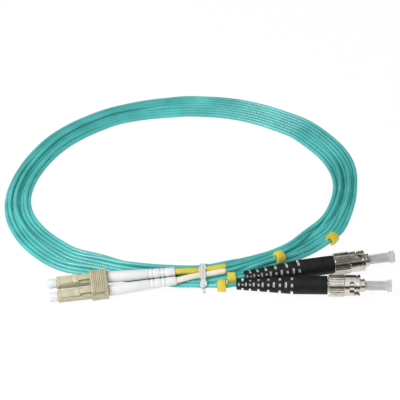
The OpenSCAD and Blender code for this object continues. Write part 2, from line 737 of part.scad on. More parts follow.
// Colour sleeve over the first stretch of a leg, from the boot's end.
module colour_sleeve(side, points) {
    first = lc_boot_point(side, lc_boot_end + 0.2);
    last_x = first[0] + sleeve_len;
    last = route_at(points, last_x);
    from_boot = [for (p = points) if (p[0] < last_x - 1) p];
    difference() {
        swept(concat([first], from_boot, [last]), sleeve_d, 12);
        swept(concat([lc_boot_point(side, lc_boot_end - 1)], from_boot,
            [last, last + unit(route_at(points, last_x + 1) - last)]), leg_d + 2 * leg_gap, 12);
    }
}
module yellow_sleeve() { color([0.92, 0.84, 0.35]) on_surface() colour_sleeve(1, leg_lc_a_points); }
module white_sleeve() { color([0.95, 0.93, 0.86]) on_surface() colour_sleeve(-1, leg_lc_b_points); }

// Flat loop around the bundle, with its two ends twisted together in front.
module twist_tie() {
    corner = 1.2;
    module loop(grow) {
        translate([tie_middle[0], tie_middle[1]])
            offset(r = corner + grow, $fn = 24)
                square([tie_span[0] - 2 * corner, tie_span[1] - 2 * corner], center = true);
    }
    color([0.95, 0.95, 0.95]) on_surface() {
        translate([-tie_w / 2, 0, 0]) rotate([90, 0, 90]) linear_extrude(tie_w) difference() {
            loop(0);
            loop(-tie_t);
        }
        translate([0, tie_middle[0] - tie_span[0] / 2 + 0.1, 0.6]) rotate([90, 0, 0])
            cylinder(h = tie_tail, d = 0.9);
    }
}

// Ring with a mouth along it, so that it clips over a leg.
module ring_marker(at, yaw) {
    color([0.93, 0.83, 0.30]) on_surface() translate(at) rotate([0, 0, yaw]) difference() {
        along_x(-marker_len / 2, marker_len / 2, marker_d);
        along_x(-marker_len, marker_len, leg_d + 2 * leg_gap);
        box_x(-marker_len, marker_len, marker_mouth / 2, -marker_d, 0);
    }
}

duplex_clip();
duplex_trigger();
lc_housing(1);  // lc_housing_a
lc_housing(-1);  // lc_housing_b
lc_latch(1);  // lc_latch_a
lc_latch(-1);  // lc_latch_b
lc_ferrule(1);  // lc_ferrule_a
lc_ferrule(-1);  // lc_ferrule_b
lc_flange(1);  // lc_flange_a
lc_flange(-1);  // lc_flange_b
lc_spring(1);  // lc_spring_a
lc_spring(-1);  // lc_spring_b
lc_backbone(1);  // lc_backbone_a
lc_backbone(-1);  // lc_backbone_b
lc_crimp_ring(1);  // lc_crimp_ring_a
lc_crimp_ring(-1);  // lc_crimp_ring_b
lc_fibre(1);  // lc_fibre_a
lc_fibre(-1);  // lc_fibre_b
lc_boot(1);  // lc_boot_a
lc_boot(-1);  // lc_boot_b
lc_dust_cap(1);  // lc_dust_cap_a
lc_dust_cap(-1);  // lc_dust_cap_b
st_barrel(st_a_at, st_a_turn);  // st_barrel_a
st_barrel(st_b_at, st_b_turn);  // st_barrel_b
st_ferrule(st_a_at, st_a_turn);  // st_ferrule_a
st_ferrule(st_b_at, st_b_turn);  // st_ferrule_b
st_spring(st_a_at, st_a_turn);  // st_spring_a
st_spring(st_b_at, st_b_turn);  // st_spring_b
st_washer(st_a_at, st_a_turn);  // st_washer_a
st_washer(st_b_at, st_b_turn);  // st_washer_b
st_clip_ring(st_a_at, st_a_turn);  // st_clip_ring_a
st_clip_ring(st_b_at, st_b_turn);  // st_clip_ring_b
st_nut(st_a_at, st_a_turn);  // st_nut_a
st_nut(st_b_at, st_b_turn);  // st_nut_b
st_crimp_sleeve(st_a_at, st_a_turn);  // st_crimp_sleeve_a
st_crimp_sleeve(st_b_at, st_b_turn);  // st_crimp_sleeve_b
st_fibre(st_a_at, st_a_turn);  // st_fibre_a
st_fibre(st_b_at, st_b_turn);  // st_fibre_b
st_boot(st_a_at, st_a_turn);  // st_boot_a
st_boot(st_b_at, st_b_turn);  // st_boot_b
st_dust_cap(st_a_at, st_a_turn);  // st_dust_cap_a
st_dust_cap(st_b_at, st_b_turn);  // st_dust_cap_b
cable_coil();
leg_to_lc(1, leg_lc_a_points);  // leg_lc_a
leg_to_lc(-1, leg_lc_b_points);  // leg_lc_b
leg_to_st(st_a_at, st_a_turn, leg_st_a_points);  // leg_st_a
leg_to_st(st_b_at, st_b_turn, leg_st_b_points);  // leg_st_b
yellow_sleeve();
white_sleeve();
twist_tie();
ring_marker(marker_1_at, marker_1_yaw);  // marker_1
ring_marker(marker_2_at, marker_2_yaw);  // marker_2
ring_marker(marker_3_at, marker_3_yaw);  // marker_3
ring_marker(marker_4_at, marker_4_yaw);  // marker_4
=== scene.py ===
# %% [markdown]
# # A duplex fibre optic patch cord
# The real thing is two round legs of soft plastic, each with a hair of glass inside, wound into
# an oval coil and held by a clear tie. One end has two small square plugs in a beige clip, the
# other has two bayonet plugs with knurled metal nuts. All four plugs wear a dust cap.
#
# This lesson builds it in the order in which a maker would: first the camera and the two legs,
# then the plugs, and last the finishes and the light. Shapes are drawn in millimetres and
# placed in the frame's metres by one matrix for each plug.

import json
from math import atan2, cos, degrees, hypot, pi, radians, sin

import bmesh
import bpy
import numpy as np
from mathutils import Euler, Matrix, Vector

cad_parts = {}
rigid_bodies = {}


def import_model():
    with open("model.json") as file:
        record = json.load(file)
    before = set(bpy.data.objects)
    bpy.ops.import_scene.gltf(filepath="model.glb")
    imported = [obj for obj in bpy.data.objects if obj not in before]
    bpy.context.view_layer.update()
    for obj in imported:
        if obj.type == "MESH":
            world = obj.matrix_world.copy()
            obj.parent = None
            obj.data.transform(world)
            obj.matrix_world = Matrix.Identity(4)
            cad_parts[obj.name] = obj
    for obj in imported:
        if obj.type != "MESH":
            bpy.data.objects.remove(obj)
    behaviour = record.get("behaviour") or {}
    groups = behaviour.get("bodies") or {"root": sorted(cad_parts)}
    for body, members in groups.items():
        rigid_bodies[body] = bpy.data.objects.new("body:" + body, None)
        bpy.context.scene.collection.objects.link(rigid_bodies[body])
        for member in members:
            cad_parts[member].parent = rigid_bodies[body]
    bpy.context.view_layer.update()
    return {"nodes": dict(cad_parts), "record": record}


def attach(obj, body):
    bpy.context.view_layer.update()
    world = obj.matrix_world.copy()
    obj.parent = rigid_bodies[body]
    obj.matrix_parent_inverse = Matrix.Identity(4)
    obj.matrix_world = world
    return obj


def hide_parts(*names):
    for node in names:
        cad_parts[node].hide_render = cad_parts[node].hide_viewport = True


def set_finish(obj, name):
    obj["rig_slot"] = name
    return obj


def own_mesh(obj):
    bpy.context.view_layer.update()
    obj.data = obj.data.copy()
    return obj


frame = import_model()

MM = 0.001
# where the frame's zero lies in the drawing of the whole, in millimetres
ORIGIN = Vector((8.69, -0.592, 0))


def in_frame(at, turn):
    """The matrix that puts a shape drawn in millimetres at a plug's place in the frame."""
    angles = Euler([radians(angle) for angle in turn], "XYZ").to_matrix().to_4x4()
    return Matrix.Translation((Vector(at) - ORIGIN) * MM) @ angles @ Matrix.Scale(MM, 4)


# each drawing's place in millimetres, and its turn in degrees
TABLE = in_frame((0, 0, 0), (0, 0, 0))
SQUARE = in_frame((-63.5, -8.8, 4.75), (23, 0, 9.3))
BAYONET = {
    "a": in_frame((57.8, 6.7, 4.9), (0, -2.6, 8)),
    "b": in_frame((54.6, -6.1, 4.9), (0, -2.8, -3.5)),
}
SIDE = {"a": 1, "b": -1}
HALF_PITCH = 3.125


def square_plug(leg):
    """The matrix of one of the two square plugs, which lie side by side."""
    return SQUARE @ Matrix.Translation((0, SIDE[leg] * HALF_PITCH, 0))

# %% [markdown]
# ## The camera
# A small thing is best looked at from a little way off with a long lens, so that near and far
# parts keep their size. The lens is narrow and the camera looks down at 42 degrees.

# %% The camera
eye = bpy.data.objects.new("Camera", bpy.data.cameras.new("Camera"))
bpy.context.scene.collection.objects.link(eye)
eye.location = (Vector((-1.329, -405.788, 414.861)) - ORIGIN) * MM
eye.rotation_euler = (radians(48), 0, 0)
eye.data.lens = 117.64
eye.data.sensor_width = 36
eye.data.clip_start = 0.01
bpy.context.scene.camera = eye

# %% [markdown]
# ## The line of the coil
# The coil is an oval that a hand has wound: wider at the back, narrow where the tie holds it.
# Its middle line is a closed smooth curve through a few dozen points, each with half the width
# that the wound legs take up there.

# %% The coil's middle line
COIL = [
    [0, 3.9, 3.8], [13, 7.7, 4], [26, 12.4, 4.6], [40.8, 19.2, 5],
    [52, 28.6, 5.3], [58.5, 35.5, 5.5], [62.9, 43, 5.7], [66.6, 54.2, 5.75],
    [68.2, 66, 6], [67.7, 78, 7.3], [63.8, 89.3, 8.3], [57.2, 99.2, 8.6],
    [49.5, 107.8, 9], [39.9, 113.9, 9.1], [30.4, 118.8, 9.1], [20.7, 122.4, 9],
    [11.1, 124.6, 8.8], [1.4, 125.5, 8.5], [-8, 125.8, 8.1], [-17.3, 124.7, 7.8],
    [-26.6, 123.3, 7.5], [-36, 120.9, 7.1], [-45.4, 117.5, 6.9], [-54.3, 112.3, 6.9],
    [-62.9, 105.9, 6.85], [-70.8, 98, 6.8], [-77.4, 88.5, 6.5], [-82.6, 77.8, 6.2],
    [-86.2, 66, 6], [-87.4, 53.4, 6.2], [-84.9, 41, 6.7], [-78.6, 30, 7.6],
    [-70, 20.9, 8.2], [-60.1, 13.9, 8], [-47, 9.9, 7], [-37, 6.6, 6.3],
    [-27, 5.1, 5.6], [-14, 4.2, 4.7],
]
STEPS = 3
STATIONS = len(COIL) * STEPS
TURNS = 4
LEG_R = 1.0


def smooth(points, steps, closed=False):
    """A smooth line through the points, with this many steps between each pair."""
    p = np.array(points, float)
    n = len(p)
    line = []
    for i in range(n if closed else n - 1):
        ends = [i - 1, i, i + 1, i + 2]
        ends = [k % n if closed else min(max(k, 0), n - 1) for k in ends]
        a, b, c, d = p[ends]
        for k in range(steps):
            u = k / steps
            bend = 2 * a - 5 * b + 4 * c - d
            line.append(b + (c - a) * u / 2 + bend * u**2 / 2 + (3 * b - a - 3 * c + d) * u**3 / 2)
    if not closed:
        line.append(p[-1])
    return np.array(line)


def line_length(points):
    """How long the line through the points is."""
    return float(np.linalg.norm(np.diff(points, axis=0), axis=1).sum())


middle = smooth(COIL, STEPS, closed=True)
ahead = np.roll(middle, -1, 0)[:, :2] - np.roll(middle, 1, 0)[:, :2]
ahead /= np.linalg.norm(ahead, axis=1)[:, None]
outward = np.stack([ahead[:, 1], -ahead[:, 0]], 1)
print("The middle line is", round(line_length(middle[:, :2])), "mm round")

# %% [markdown]
# ## Where each leg leaves its plug
# Between its boot and the coil a leg takes its own way: the two from the square plugs come in
# on top at the tie, and the two to the bayonet plugs leave along the front edge.

# %% The free stretches
LC_BOOT_START, LC_BOOT_LEN, LC_TOE = 22.2, 29.9, 1.9
WHITE_R, WHITE_TAPER, WHITE_TIP_R = 2.6, 0.7, 1.9
TO_SQUARE = {
    "a": [[-6, 3, 4.6], [-2, 4.1, 3.5], [2, 4.9, 3.5], [6, 5.9, 3.5], [10, 7, 3.5],
          [15, 8.8, 3.3], [20, 10.9, 3.1], [25, 13.4, 2.9], [30, 16.1, 2.8]],
    "b": [[-6, -0.1, 3.8], [-2, 1.1, 3.5], [2, 2, 3.5], [6, 3, 3.5], [10, 4.2, 3.4],
          [15, 6.2, 3.2], [20, 8.4, 3], [25, 10.9, 2.9], [30, 13.6, 2.8]],
}
TO_BAYONET = {
    "a": [[-16, 0.4, 1], [-10, -0.3, 1], [-4, -0.9, 1.5], [0, -1, 1.5], [4, -0.7, 1.8],
          [8, -0.2, 2.4], [10.6, 0.1, 2.9], [14.6, 0.4, 2.9]],
    "b": [[-16, -1.8, 1], [-10, -2.4, 1], [-4, -2.9, 1.5], [0, -3.1, 1.5], [3, -3.6, 2.1],
          [6, -4.4, 2.9], [10.4, -4.55, 2.9]],
}


def drawn(matrix, point):
    """A point of a plug's own drawing, in millimetres of the table's drawing."""
    return (matrix @ Vector(point)) / MM + ORIGIN


def lc_boot_place(leg):
    """The matrix of a square plug's boot, which leans in towards its neighbour."""
    return (SQUARE @ Matrix.Translation((LC_BOOT_START, SIDE[leg] * HALF_PITCH, 0))
            @ Matrix.Rotation(-SIDE[leg] * radians(LC_TOE), 4, "Z"))


def along(points, x):
    """Sideways place and height of a route where it passes x."""
    p = np.array(points)
    return np.interp(x, p[:, 0], p[:, 1]), np.interp(x, p[:, 0], p[:, 2])


def on_station(points, i):
    """A route's distance outward from the middle line at a station, and its height."""
    u = 0.0
    for _ in range(4):
        x = middle[i, 0] + outward[i, 0] * u
        y, z = along(points, x)
        u = (x - middle[i, 0]) * outward[i, 0] + (y - middle[i, 1]) * outward[i, 1]
    return u, z

# %% [markdown]
# ## Where each turn starts
# Wound legs do not lie in a neat pattern: each finds its own place beside or on top of the
# others. Drawing that by hand never looks right, so it is worked out. At many stations
# round the coil the eight crossing legs are discs on a table. Winding from the inside out
# gives each leg the place that it aims at, with a slow random drift. Where a leg enters or
# leaves the coil it is held on its own route.

# %% The turns' first places
rng = np.random.default_rng(11)
samples = TURNS * STATIONS
station = np.arange(samples + 1) % STATIONS
room = middle[station, 2] - LEG_R
share = np.arange(samples + 1) / samples


def wander(reach, period):
    """A slow random drift along a leg."""
    knots = rng.uniform(-1, 1, samples // period + 3)
    return reach * np.interp(np.arange(samples + 1) / period, np.arange(len(knots)), knots)


lay = np.zeros((2, samples + 1, 2))
aim = np.zeros((2, samples + 1))
for n in range(2):
    rank = 8 * share * 0.94 + n * 0.9  # from the innermost leg, 0, to the outermost
    aim[n] = (rank / 8.4 * 2 - 1) * room + wander(0.9, 34)
    lay[n, :, 0] = aim[n]
    lay[n, :, 1] = 1.6 + wander(0.6, 9)

held = np.zeros((2, samples + 1), bool)
for n, leg in enumerate("ab"):
    for i in range(0, 9):
        if middle[i, 0] < 27:
            lay[n, i] = on_station(TO_SQUARE[leg], i)
            held[n, i] = True
    for i in range(STATIONS - 6, STATIONS + 1):
        x = middle[i % STATIONS, 0]
        if x > -16.5:
            lay[n, samples - STATIONS + i] = on_station(TO_BAYONET[leg], i % STATIONS)
            held[n, samples - STATIONS + i] = True

# %% [markdown]
# ## Where the markers hang
# Two ring markers sit on the legs that leave for the bayonet plugs. The other two hang on the
# outermost turn, one on top of the others and one outside them, and hold it there.

# %% The markers' places
MARKERS = {
    # place in millimetres, and turn in degrees
    1: ((8.2, -4.475, 2.9), -2),
    2: ((12.6, 0.25, 2.9), 4),
    3: ((34.3, 12.6, 4.2), 28),
    4: ((59, 25.6, 2.9), 55),
}
# how far apart two stations lie, on the middle line and further out, and how many give way
MIDDLE_GAP, OUTER_GAP, REACH = 3.8, 4.6, 14


def fade(steps, gap, width):
    """1 in the middle and less further out, for stations that lie a gap apart."""
    return np.exp(-((steps * gap / width) ** 2))


def hang(leg_number, place):
    """Holds the last turn of a leg at a ring marker's place."""
    away = (place[0] - middle[:, 0]) * ahead[:, 0] + (place[1] - middle[:, 1]) * ahead[:, 1]
    near = np.hypot(place[0] - middle[:, 0], place[1] - middle[:, 1])
    i = int(np.argmin(np.abs(away) + 0.2 * near))
    j = samples - STATIONS + i
    offset = Vector((place[0] - middle[i, 0], place[1] - middle[i, 1]))
    lay[leg_number, j] = offset.dot(Vector(outward[i])), place[2] - 0.2
    held[leg_number, j] = True
    for k in range(-REACH, REACH + 1):
        missing = lay[leg_number, j, 0] - aim[leg_number, j + k]
        aim[leg_number, j + k] += fade(k, MIDDLE_GAP, 18) * missing
    return i


marker_station = {3: hang(0, MARKERS[3][0]), 4: hang(1, MARKERS[4][0])}
print("Markers 3 and 4 hang at stations", marker_station[3], "and", marker_station[4])

# %% [markdown]
# ## What is in the way
# Sleeved legs, boots, leaving legs and markers take up room at some stations, each as one more
# disc. The tie and the coil's width limit how high and how far out a leg can lie.

# %% The obstacles and limits
SHRINK_R, MARKER_R = 1.35, 2.8
FRONT_Y, BULGE = 40, 1.5
widen = fade(np.arange(STATIONS) - marker_station[4], OUTER_GAP, 15)
aim += BULGE * widen[station] * np.maximum(aim, 0) / room
blocks = []
for i in range(STATIONS):
    x = middle[i, 0]
    if abs(x) > 60 or middle[i, 1] > FRONT_Y:
        continue
    for leg in "ab":
        boot_end = drawn(lc_boot_place(leg), (LC_BOOT_LEN, 0, 0))
        boot_front = drawn(lc_boot_place(leg), (0, 0, 0))
        if boot_end.x < x < 10:
            blocks.append((i, *on_station([list(boot_end)] + TO_SQUARE[leg], i), SHRINK_R))
        elif boot_front.x < x <= boot_end.x:
            thick = WHITE_TIP_R + WHITE_TAPER * (boot_end.x - x) / LC_BOOT_LEN
            blocks.append((i, *on_station([list(boot_front), list(boot_end)], i), thick))
        if 0 < x < 15:
            blocks.append((i, *on_station(TO_BAYONET[leg], i), LEG_R))
    for number in (1, 2):
        (mx, my, mz), _ = MARKERS[number]
        if abs(x - mx) < 3:
            blocks.append((i, *on_station([[mx - 9, my, mz], [mx + 9, my, mz]], i), MARKER_R))

loose = ~held
low = np.full(samples + 1, LEG_R)
high = np.full(samples + 1, 2.8)
front = middle[station, 1] < FRONT_Y
under_tie = (np.abs(middle[station, 0]) < 2.6) & front
low[under_tie] = 1.45
high[under_tie] = 3.6
snug = room < 4.6
high[snug & ~under_tie] = 3.4
edge = room.copy()
by_tie = (np.abs(middle[station, 0]) < 24) & front
edge[by_tie] = np.maximum(edge[by_tie], 4.0)
edge[under_tie] = 5.0
outer_edge = edge + BULGE * widen[station]
near_marker = fade(station - marker_station[4], OUTER_GAP, 22)
near_marker *= np.arange(samples + 1) > samples - STATIONS
print(len(blocks), "obstacles stand round the turns")

# %% [markdown]
# ## Letting the turns settle
# Every round, the legs are pulled a little towards the place that they aim at, sink,
# straighten along their length, and are pushed apart where they overlap. In the last rounds
# nothing pulls any more, so that only the pushing is left and no two legs overlap much.

# %% Letting the turns settle
ROUNDS, PULLED_ROUNDS = 460, 330
SINK, STEP, SHARED, ALONE = 0.03, 0.8, 0.42, 0.9


def straighten(amount, which):
    """Moves each point of the legs a little towards the middle of its two neighbours."""
    straight = (lay[:, :-2] + lay[:, 2:]) / 2 - lay[:, 1:-1]
    lay[:, 1:-1] += amount * straight * which[:, 1:-1, None]


for round_number in range(ROUNDS):
    easing, pull = (0.42, 0.05) if round_number < PULLED_ROUNDS else (0.14, 0.0)
    straighten(easing, loose)
    lay[..., 0] += pull * (aim - lay[..., 0]) * loose
    lay[..., 1] -= SINK * loose
    for _ in range(4):
        turn = lay[:, :samples].reshape(2 * TURNS, STATIONS, 2)
        free = loose[:, :samples].reshape(2 * TURNS, STATIONS)
        shift = np.zeros_like(turn)
        for m in range(2 * TURNS):
            for k in range(m + 1, 2 * TURNS):
                gap = turn[k] - turn[m]
                far = np.maximum(np.hypot(gap[:, 0], gap[:, 1]), 1e-3)
                push = np.maximum(2 * LEG_R - far, 0)[:, None] * gap / far[:, None]
                both = (free[m] & free[k])[:, None]
                shift[m] -= push * np.where(both, SHARED, ALONE)
                shift[k] += push * np.where(both, SHARED, ALONE)
        for i, u, z, r in blocks:
            gap = turn[:, i] - (u, z)
            far = np.maximum(np.hypot(gap[:, 0], gap[:, 1]), 1e-3)
            shift[:, i] += np.maximum(r + LEG_R - far, 0)[:, None] * gap / far[:, None]
        lay[:, :samples] += (shift * free[..., None]).reshape(2, samples, 2) * STEP
        for n in range(2):
            f = loose[n]
            lay[n, f, 1] = np.clip(lay[n, f, 1], low[f], high[f])
            limit = outer_edge + (1.1 if n == 1 else 0.0) * near_marker
            lay[n, f, 0] = np.clip(lay[n, f, 0], -edge[f], limit[f])

gentle = loose.copy()
for n, number in ((0, 3), (1, 4)):
    gentle[n, samples - STATIONS + marker_station[number]] = True
for _ in range(3):
    straighten(0.25, gentle)
turn = lay[:, :samples].reshape(2 * TURNS, STATIONS, 2)
closest = min(
    float(np.hypot(*(turn[k] - turn[m]).T).min()) for m in range(8) for k in range(m + 1, 8)
)
print("The closest two legs in the coil lie", round(closest, 2), "mm apart, centre to centre")

# %% [markdown]
# ## The two legs
# A leg is one long line from its square plug's boot, round the coil four times and into its
# bayonet plug's boot. Its centreline is worked out first, so that its length can be measured.
# The round leg is drawn out along it further down, once the tools for that are there.


def leg_route(n, leg):
    """A leg's whole line, in millimetres of the table's drawing."""
    boot = lc_boot_place(leg)
    st = BAYONET[leg]
    start = [drawn(boot, (x, 0, 0)) for x in (4, 12, 21, 26, LC_BOOT_LEN)]
    start += [Vector(p) for p in TO_SQUARE[leg] if p[0] < -1.9]
    wound = [
        (*(middle[i, :2] + outward[i] * lay[n, j, 0]), lay[n, j, 1])
        for j, i in enumerate(station)
    ]
    finish = [Vector(p) for p in TO_BAYONET[leg] if p[0] > 1.9]
    finish += [drawn(st, (x, 0, 0)) for x in (-40, -36, -30, -20, -10.5)]
    return smooth([list(p) for p in start] + wound + [list(p) for p in finish], 2)


routes = {}
for n, leg in enumerate("ab"):
    route = leg_route(n, leg)
    print("Leg", leg, "is", round(line_length(route) * MM, 3), "m long")
    routes[leg] = route

# %% [markdown]
# ## Tools for the solid pieces
# Nearly every piece of a plug is long, so one tool makes most of them: it starts from a circle,
# gives its corners a section's shape, and draws it out from section to section. The sections
# are round, or square with their corners cut back.

# %% Sections
def ring(x, radius, count=48):
    """A round section at x."""
    return [(x, radius * cos(2 * pi * k / count), radius * sin(2 * pi * k / count))
            for k in range(count)]


CORNER_SPAN, FLAT_SPAN = radians(9), radians(72)


def square_angles(corner=4, flat=5):
    """Directions round a square section, closer together at its corners."""
    angles = []
    for quarter in range(4):
        mid = quarter * pi / 2 + pi / 4
        angles += [mid + CORNER_SPAN * (k / (corner - 1) - 0.5) * 2 for k in range(corner)]
        angles += [mid + CORNER_SPAN + FLAT_SPAN * (k + 1) / (flat + 1) for k in range(flat)]
    return angles


CORNERS = square_angles()


def square_ring(x, half, rounding):
    """A square section at x, with its corners cut back by the rounding."""
    points = []
    for a in CORNERS:
        reach = half / max(abs(cos(a)), abs(sin(a)))
        cut = (2 * half - rounding) / (abs(cos(a)) + abs(sin(a)))
        r = min(reach, cut)
        points.append((x, r * cos(a), r * sin(a)))
    return points


def round_ring(x, radius):
    """A round section whose corners lie in the same directions as a square section's."""
    return [(x, radius * cos(a), radius * sin(a)) for a in CORNERS]


print("A square section has", len(CORNERS), "corners, more of them where it turns")

# %% [markdown]
# ## Drawing out
# A loft draws one section out to the next. A ring of edges is extruded, and each new corner is
# moved to its place in the next section. A shut loft gets a face at both ends, and a joined
# one comes back to its own start, which makes a hollow part with its wall in one go.

# %% Drawing out
def loft(rings, shut=True, joined=False):
    """Draws a section out through a list of rings. A joined loft meets its own start again."""
    bm = bmesh.new()
    bmesh.ops.create_circle(bm, segments=len(rings[0]), radius=1)
    bm.verts.ensure_lookup_table()
    current = list(bm.verts)
    edges = list(bm.edges)
    first_edges = list(edges)
    for vert, place in zip(current, rings[0]):
        vert.co = place
    for places in rings[1:] + (rings[:1] if joined else []):
        made = bmesh.ops.extrude_edge_only(bm, edges=edges)["geom"]
        order = {vert: k for k, vert in enumerate(current)}
        fresh = [None] * len(current)
        for vert in (g for g in made if isinstance(g, bmesh.types.BMVert)):
            old = next(o for o in (e.other_vert(vert) for e in vert.link_edges) if o in order)
            fresh[order[old]] = vert
        for vert, place in zip(fresh, places):
            vert.co = place
        edges = [g for g in made if isinstance(g, bmesh.types.BMEdge)
                 and all(v not in order for v in g.verts)]
        current = fresh
    if joined:
        bmesh.ops.remove_doubles(bm, verts=bm.verts, dist=1e-4)
    elif shut:
        bmesh.ops.contextual_create(bm, geom=first_edges)
        bmesh.ops.contextual_create(bm, geom=edges)
    bmesh.ops.recalc_face_normals(bm, faces=bm.faces)
    return bm

# %% [markdown]
# ## Plates, blocks and rods
# Flat parts start as an outline and get a width, and the rest are blocks and rods. Every
# moulded or turned edge is a little round, so a bevel softens the sharp ones.

# %% Plates, blocks and rods
def plate(outline, half_y):
    """A flat outline in X and Z given a width along Y."""
    bm = bmesh.new()
    corners = [bm.verts.new((x, -half_y, z)) for x, z in outline]
    edges = [bm.edges.new(pair) for pair in zip(corners, corners[1:] + corners[:1])]
    face = bmesh.ops.contextual_create(bm, geom=edges)["faces"]
    made = bmesh.ops.extrude_face_region(bm, geom=face)["geom"]
    moved = [g for g in made if isinstance(g, bmesh.types.BMVert)]
    bmesh.ops.translate(bm, verts=moved, vec=(0, 2 * half_y, 0))
    bmesh.ops.recalc_face_normals(bm, faces=bm.faces)
    return bm


def block(x0, x1, y0, y1, z0, z1):
    """A plain block, to be softened by a bevel."""
    bm = bmesh.new()
    bmesh.ops.create_cube(bm, size=1)
    bmesh.ops.scale(bm, verts=bm.verts, vec=(x1 - x0, y1 - y0, z1 - z0))
    bmesh.ops.translate(bm, verts=bm.verts, vec=((x0 + x1) / 2, (y0 + y1) / 2, (z0 + z1) / 2))
    return bm


def soften(bm, width, segments=2, sharper_than=40):
    """Rounds every edge that is sharper than an angle."""
    sharp = [e for e in bm.edges
             if len(e.link_faces) == 2 and e.calc_face_angle(0) > radians(sharper_than)]
    bmesh.ops.bevel(bm, geom=sharp, offset=width, offset_type="OFFSET", segments=segments,
                    profile=0.5, affect="EDGES", clamp_overlap=True, material=-1)
    bmesh.ops.remove_doubles(bm, verts=bm.verts, dist=0.001)
    bmesh.ops.dissolve_degenerate(bm, dist=0.001, edges=bm.edges)
    return bm


def rod(half, radius, count, at):
    """A round rod along Y, with its middle at a place."""
    bm = loft([ring(-half, radius, count), ring(half, radius, count)])
    quarter = Matrix.Rotation(pi / 2, 3, "Z")
    bmesh.ops.rotate(bm, verts=bm.verts, cent=(0, 0, 0), matrix=quarter)
    bmesh.ops.translate(bm, verts=bm.verts, vec=at)
    return bm

# %% [markdown]
# ## From a shape to a piece
# Shapes are drawn in millimetres round their plug's axis. Putting one in the frame scales and
# turns its mesh, so that the object itself stays at the origin. The frame is then told which
# body the piece moves with and whose finish it takes, and the CAD parts it stands for are hidden.

# %% From a shape to a piece
def together(*parts):
    """Several shapes as one."""
    whole = bmesh.new()
    for part in parts:
        passing = bpy.data.meshes.new("passing")
        part.to_mesh(passing)
        part.free()
        whole.from_mesh(passing)
        bpy.data.meshes.remove(passing)
    return whole


def piece(name, bm, place, body, slot, replaced=(), crease=35):
    """Turns a drawn shape into a piece that rides on a body and takes a slot's finish."""
    bm.transform(place)
    mesh = bpy.data.meshes.new(name)
    bm.to_mesh(mesh)
    bm.free()
    mesh.shade_smooth()
    mesh.set_sharp_from_angle(angle=radians(crease))
    made = bpy.data.objects.new(name, mesh)
    bpy.context.scene.collection.objects.link(made)
    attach(made, body)
    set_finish(made, slot)
    if replaced:
        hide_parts(*replaced)
    print(name, "has", len(mesh.polygons), "faces and rides on", body)
    return made

# %% [markdown]
# ## The legs themselves
# A leg is a plain round section carried along its line. Each section stands square to the line,
# so that the leg keeps its thickness round every bend.

# %% The legs
def follow(route, radius, count=20):
    """Round sections across a line, each standing square to it."""
    rings = []
    for k, place in enumerate(route):
        way = Vector(route[min(k + 1, len(route) - 1)] - route[max(k - 1, 0)]).normalized()
        side = way.cross(Vector((0, 0, 1))).normalized()
        up = side.cross(way)
        r = radius(k / (len(route) - 1)) if callable(radius) else radius
        angles = [2 * pi * j / count for j in range(count)]
        rings.append([Vector(place) + r * (cos(a) * side + sin(a) * up) for a in angles])
    return rings


for leg in "ab":
    piece(f"leg_{leg}", loft(follow(routes[leg], LEG_R, 14)), TABLE, "root",
                      "aqua_jacket", ["cable_coil", f"leg_lc_{leg}", f"leg_st_{leg}"])

# %% [markdown]
# ## The square plugs
# A square plug is a small hollow bar with softened edges. A bore in its front takes the ceramic
# ferrule and the cap, and a wider chamber behind it takes the spring. Drawing a section out
# from the bore, round the outside and back through the chamber gives the whole shell at once.

# %% Housings
PLUG_HALF, PLUG_LEN = 2.25, 19.5


def housing(leg):
    """The hollow square bar of one plug."""
    bm = loft([
        round_ring(4.4, 1.4), round_ring(0.25, 1.4), round_ring(0, 1.6),
        square_ring(0, PLUG_HALF - 0.18, 0.4), square_ring(0.06, PLUG_HALF - 0.06, 0.34),
        square_ring(0.2, PLUG_HALF, 0.3), square_ring(2.0, PLUG_HALF, 0.3),
        square_ring(2.12, PLUG_HALF - 0.07, 0.3), square_ring(2.5, PLUG_HALF - 0.07, 0.3),
        square_ring(2.62, PLUG_HALF, 0.3), square_ring(19.3, PLUG_HALF, 0.3),
        square_ring(PLUG_LEN, PLUG_HALF - 0.18, 0.4), round_ring(PLUG_LEN, 1.75),
        round_ring(4.4, 1.75),
    ], joined=True)
    return piece(f"housing_{leg}", bm, square_plug(leg), "root", "plug_beige",
                 [f"lc_housing_{leg}"])


for leg in "ab":
    housing(leg)

# %% [markdown]
# ## The latches
# The latch is a thin arm that springs from the plug's front edge and rises towards the back.
# Two shoulders half way along catch in the adapter, and the narrow tail runs under the lever.

# %% Latches
def latch(leg):
    """A sprung arm: a broad front half, two shoulders and a narrow tail."""
    root = rod(1.15, 0.5, 16, (1.3, 0, 2.3))
    broad = plate([(1.5, 2.38), (2.5, 2.41), (7.7, 2.86), (7.7, 3.29), (1.6, 2.8)], 1.75)
    arm = plate([(6.9, 2.79), (15, 3.52), (15, 4.2), (6.9, 3.27)], 1.15)
    shoulder = plate([(7.4, 2.87), (9.6, 3.05), (9.6, 3.62), (8.3, 3.6), (7.4, 3.3)], 2.0)
    for part, width in ((broad, 0.12), (arm, 0.1), (shoulder, 0.14)):
        soften(part, width)
    return piece(f"latch_{leg}", together(root, broad, arm, shoulder), square_plug(leg),
                 f"latch_{leg}", "plug_beige", [f"lc_latch_{leg}"])


for leg in "ab":
    latch(leg)

# %% [markdown]
# ## The clip
# The duplex clip is a block with two square windows that the plugs snap into, a deck on top,
# and two ears for the lever. The block starts as a flat grid of faces: the window faces are
# taken out, and the rest is drawn out to its full length.

# %% The clip
CLIP_START, CLIP_END = 14.6, 22.1
WINDOW, CLIP_HALF, WALL = 2.3, 6.0, 0.575


def cut_out(bm, inside):
    """Takes out the faces whose middles lie in a cut."""
    gone = [face for face in bm.faces if inside(face.calc_center_median())]
    bmesh.ops.delete(bm, geom=gone, context="FACES")


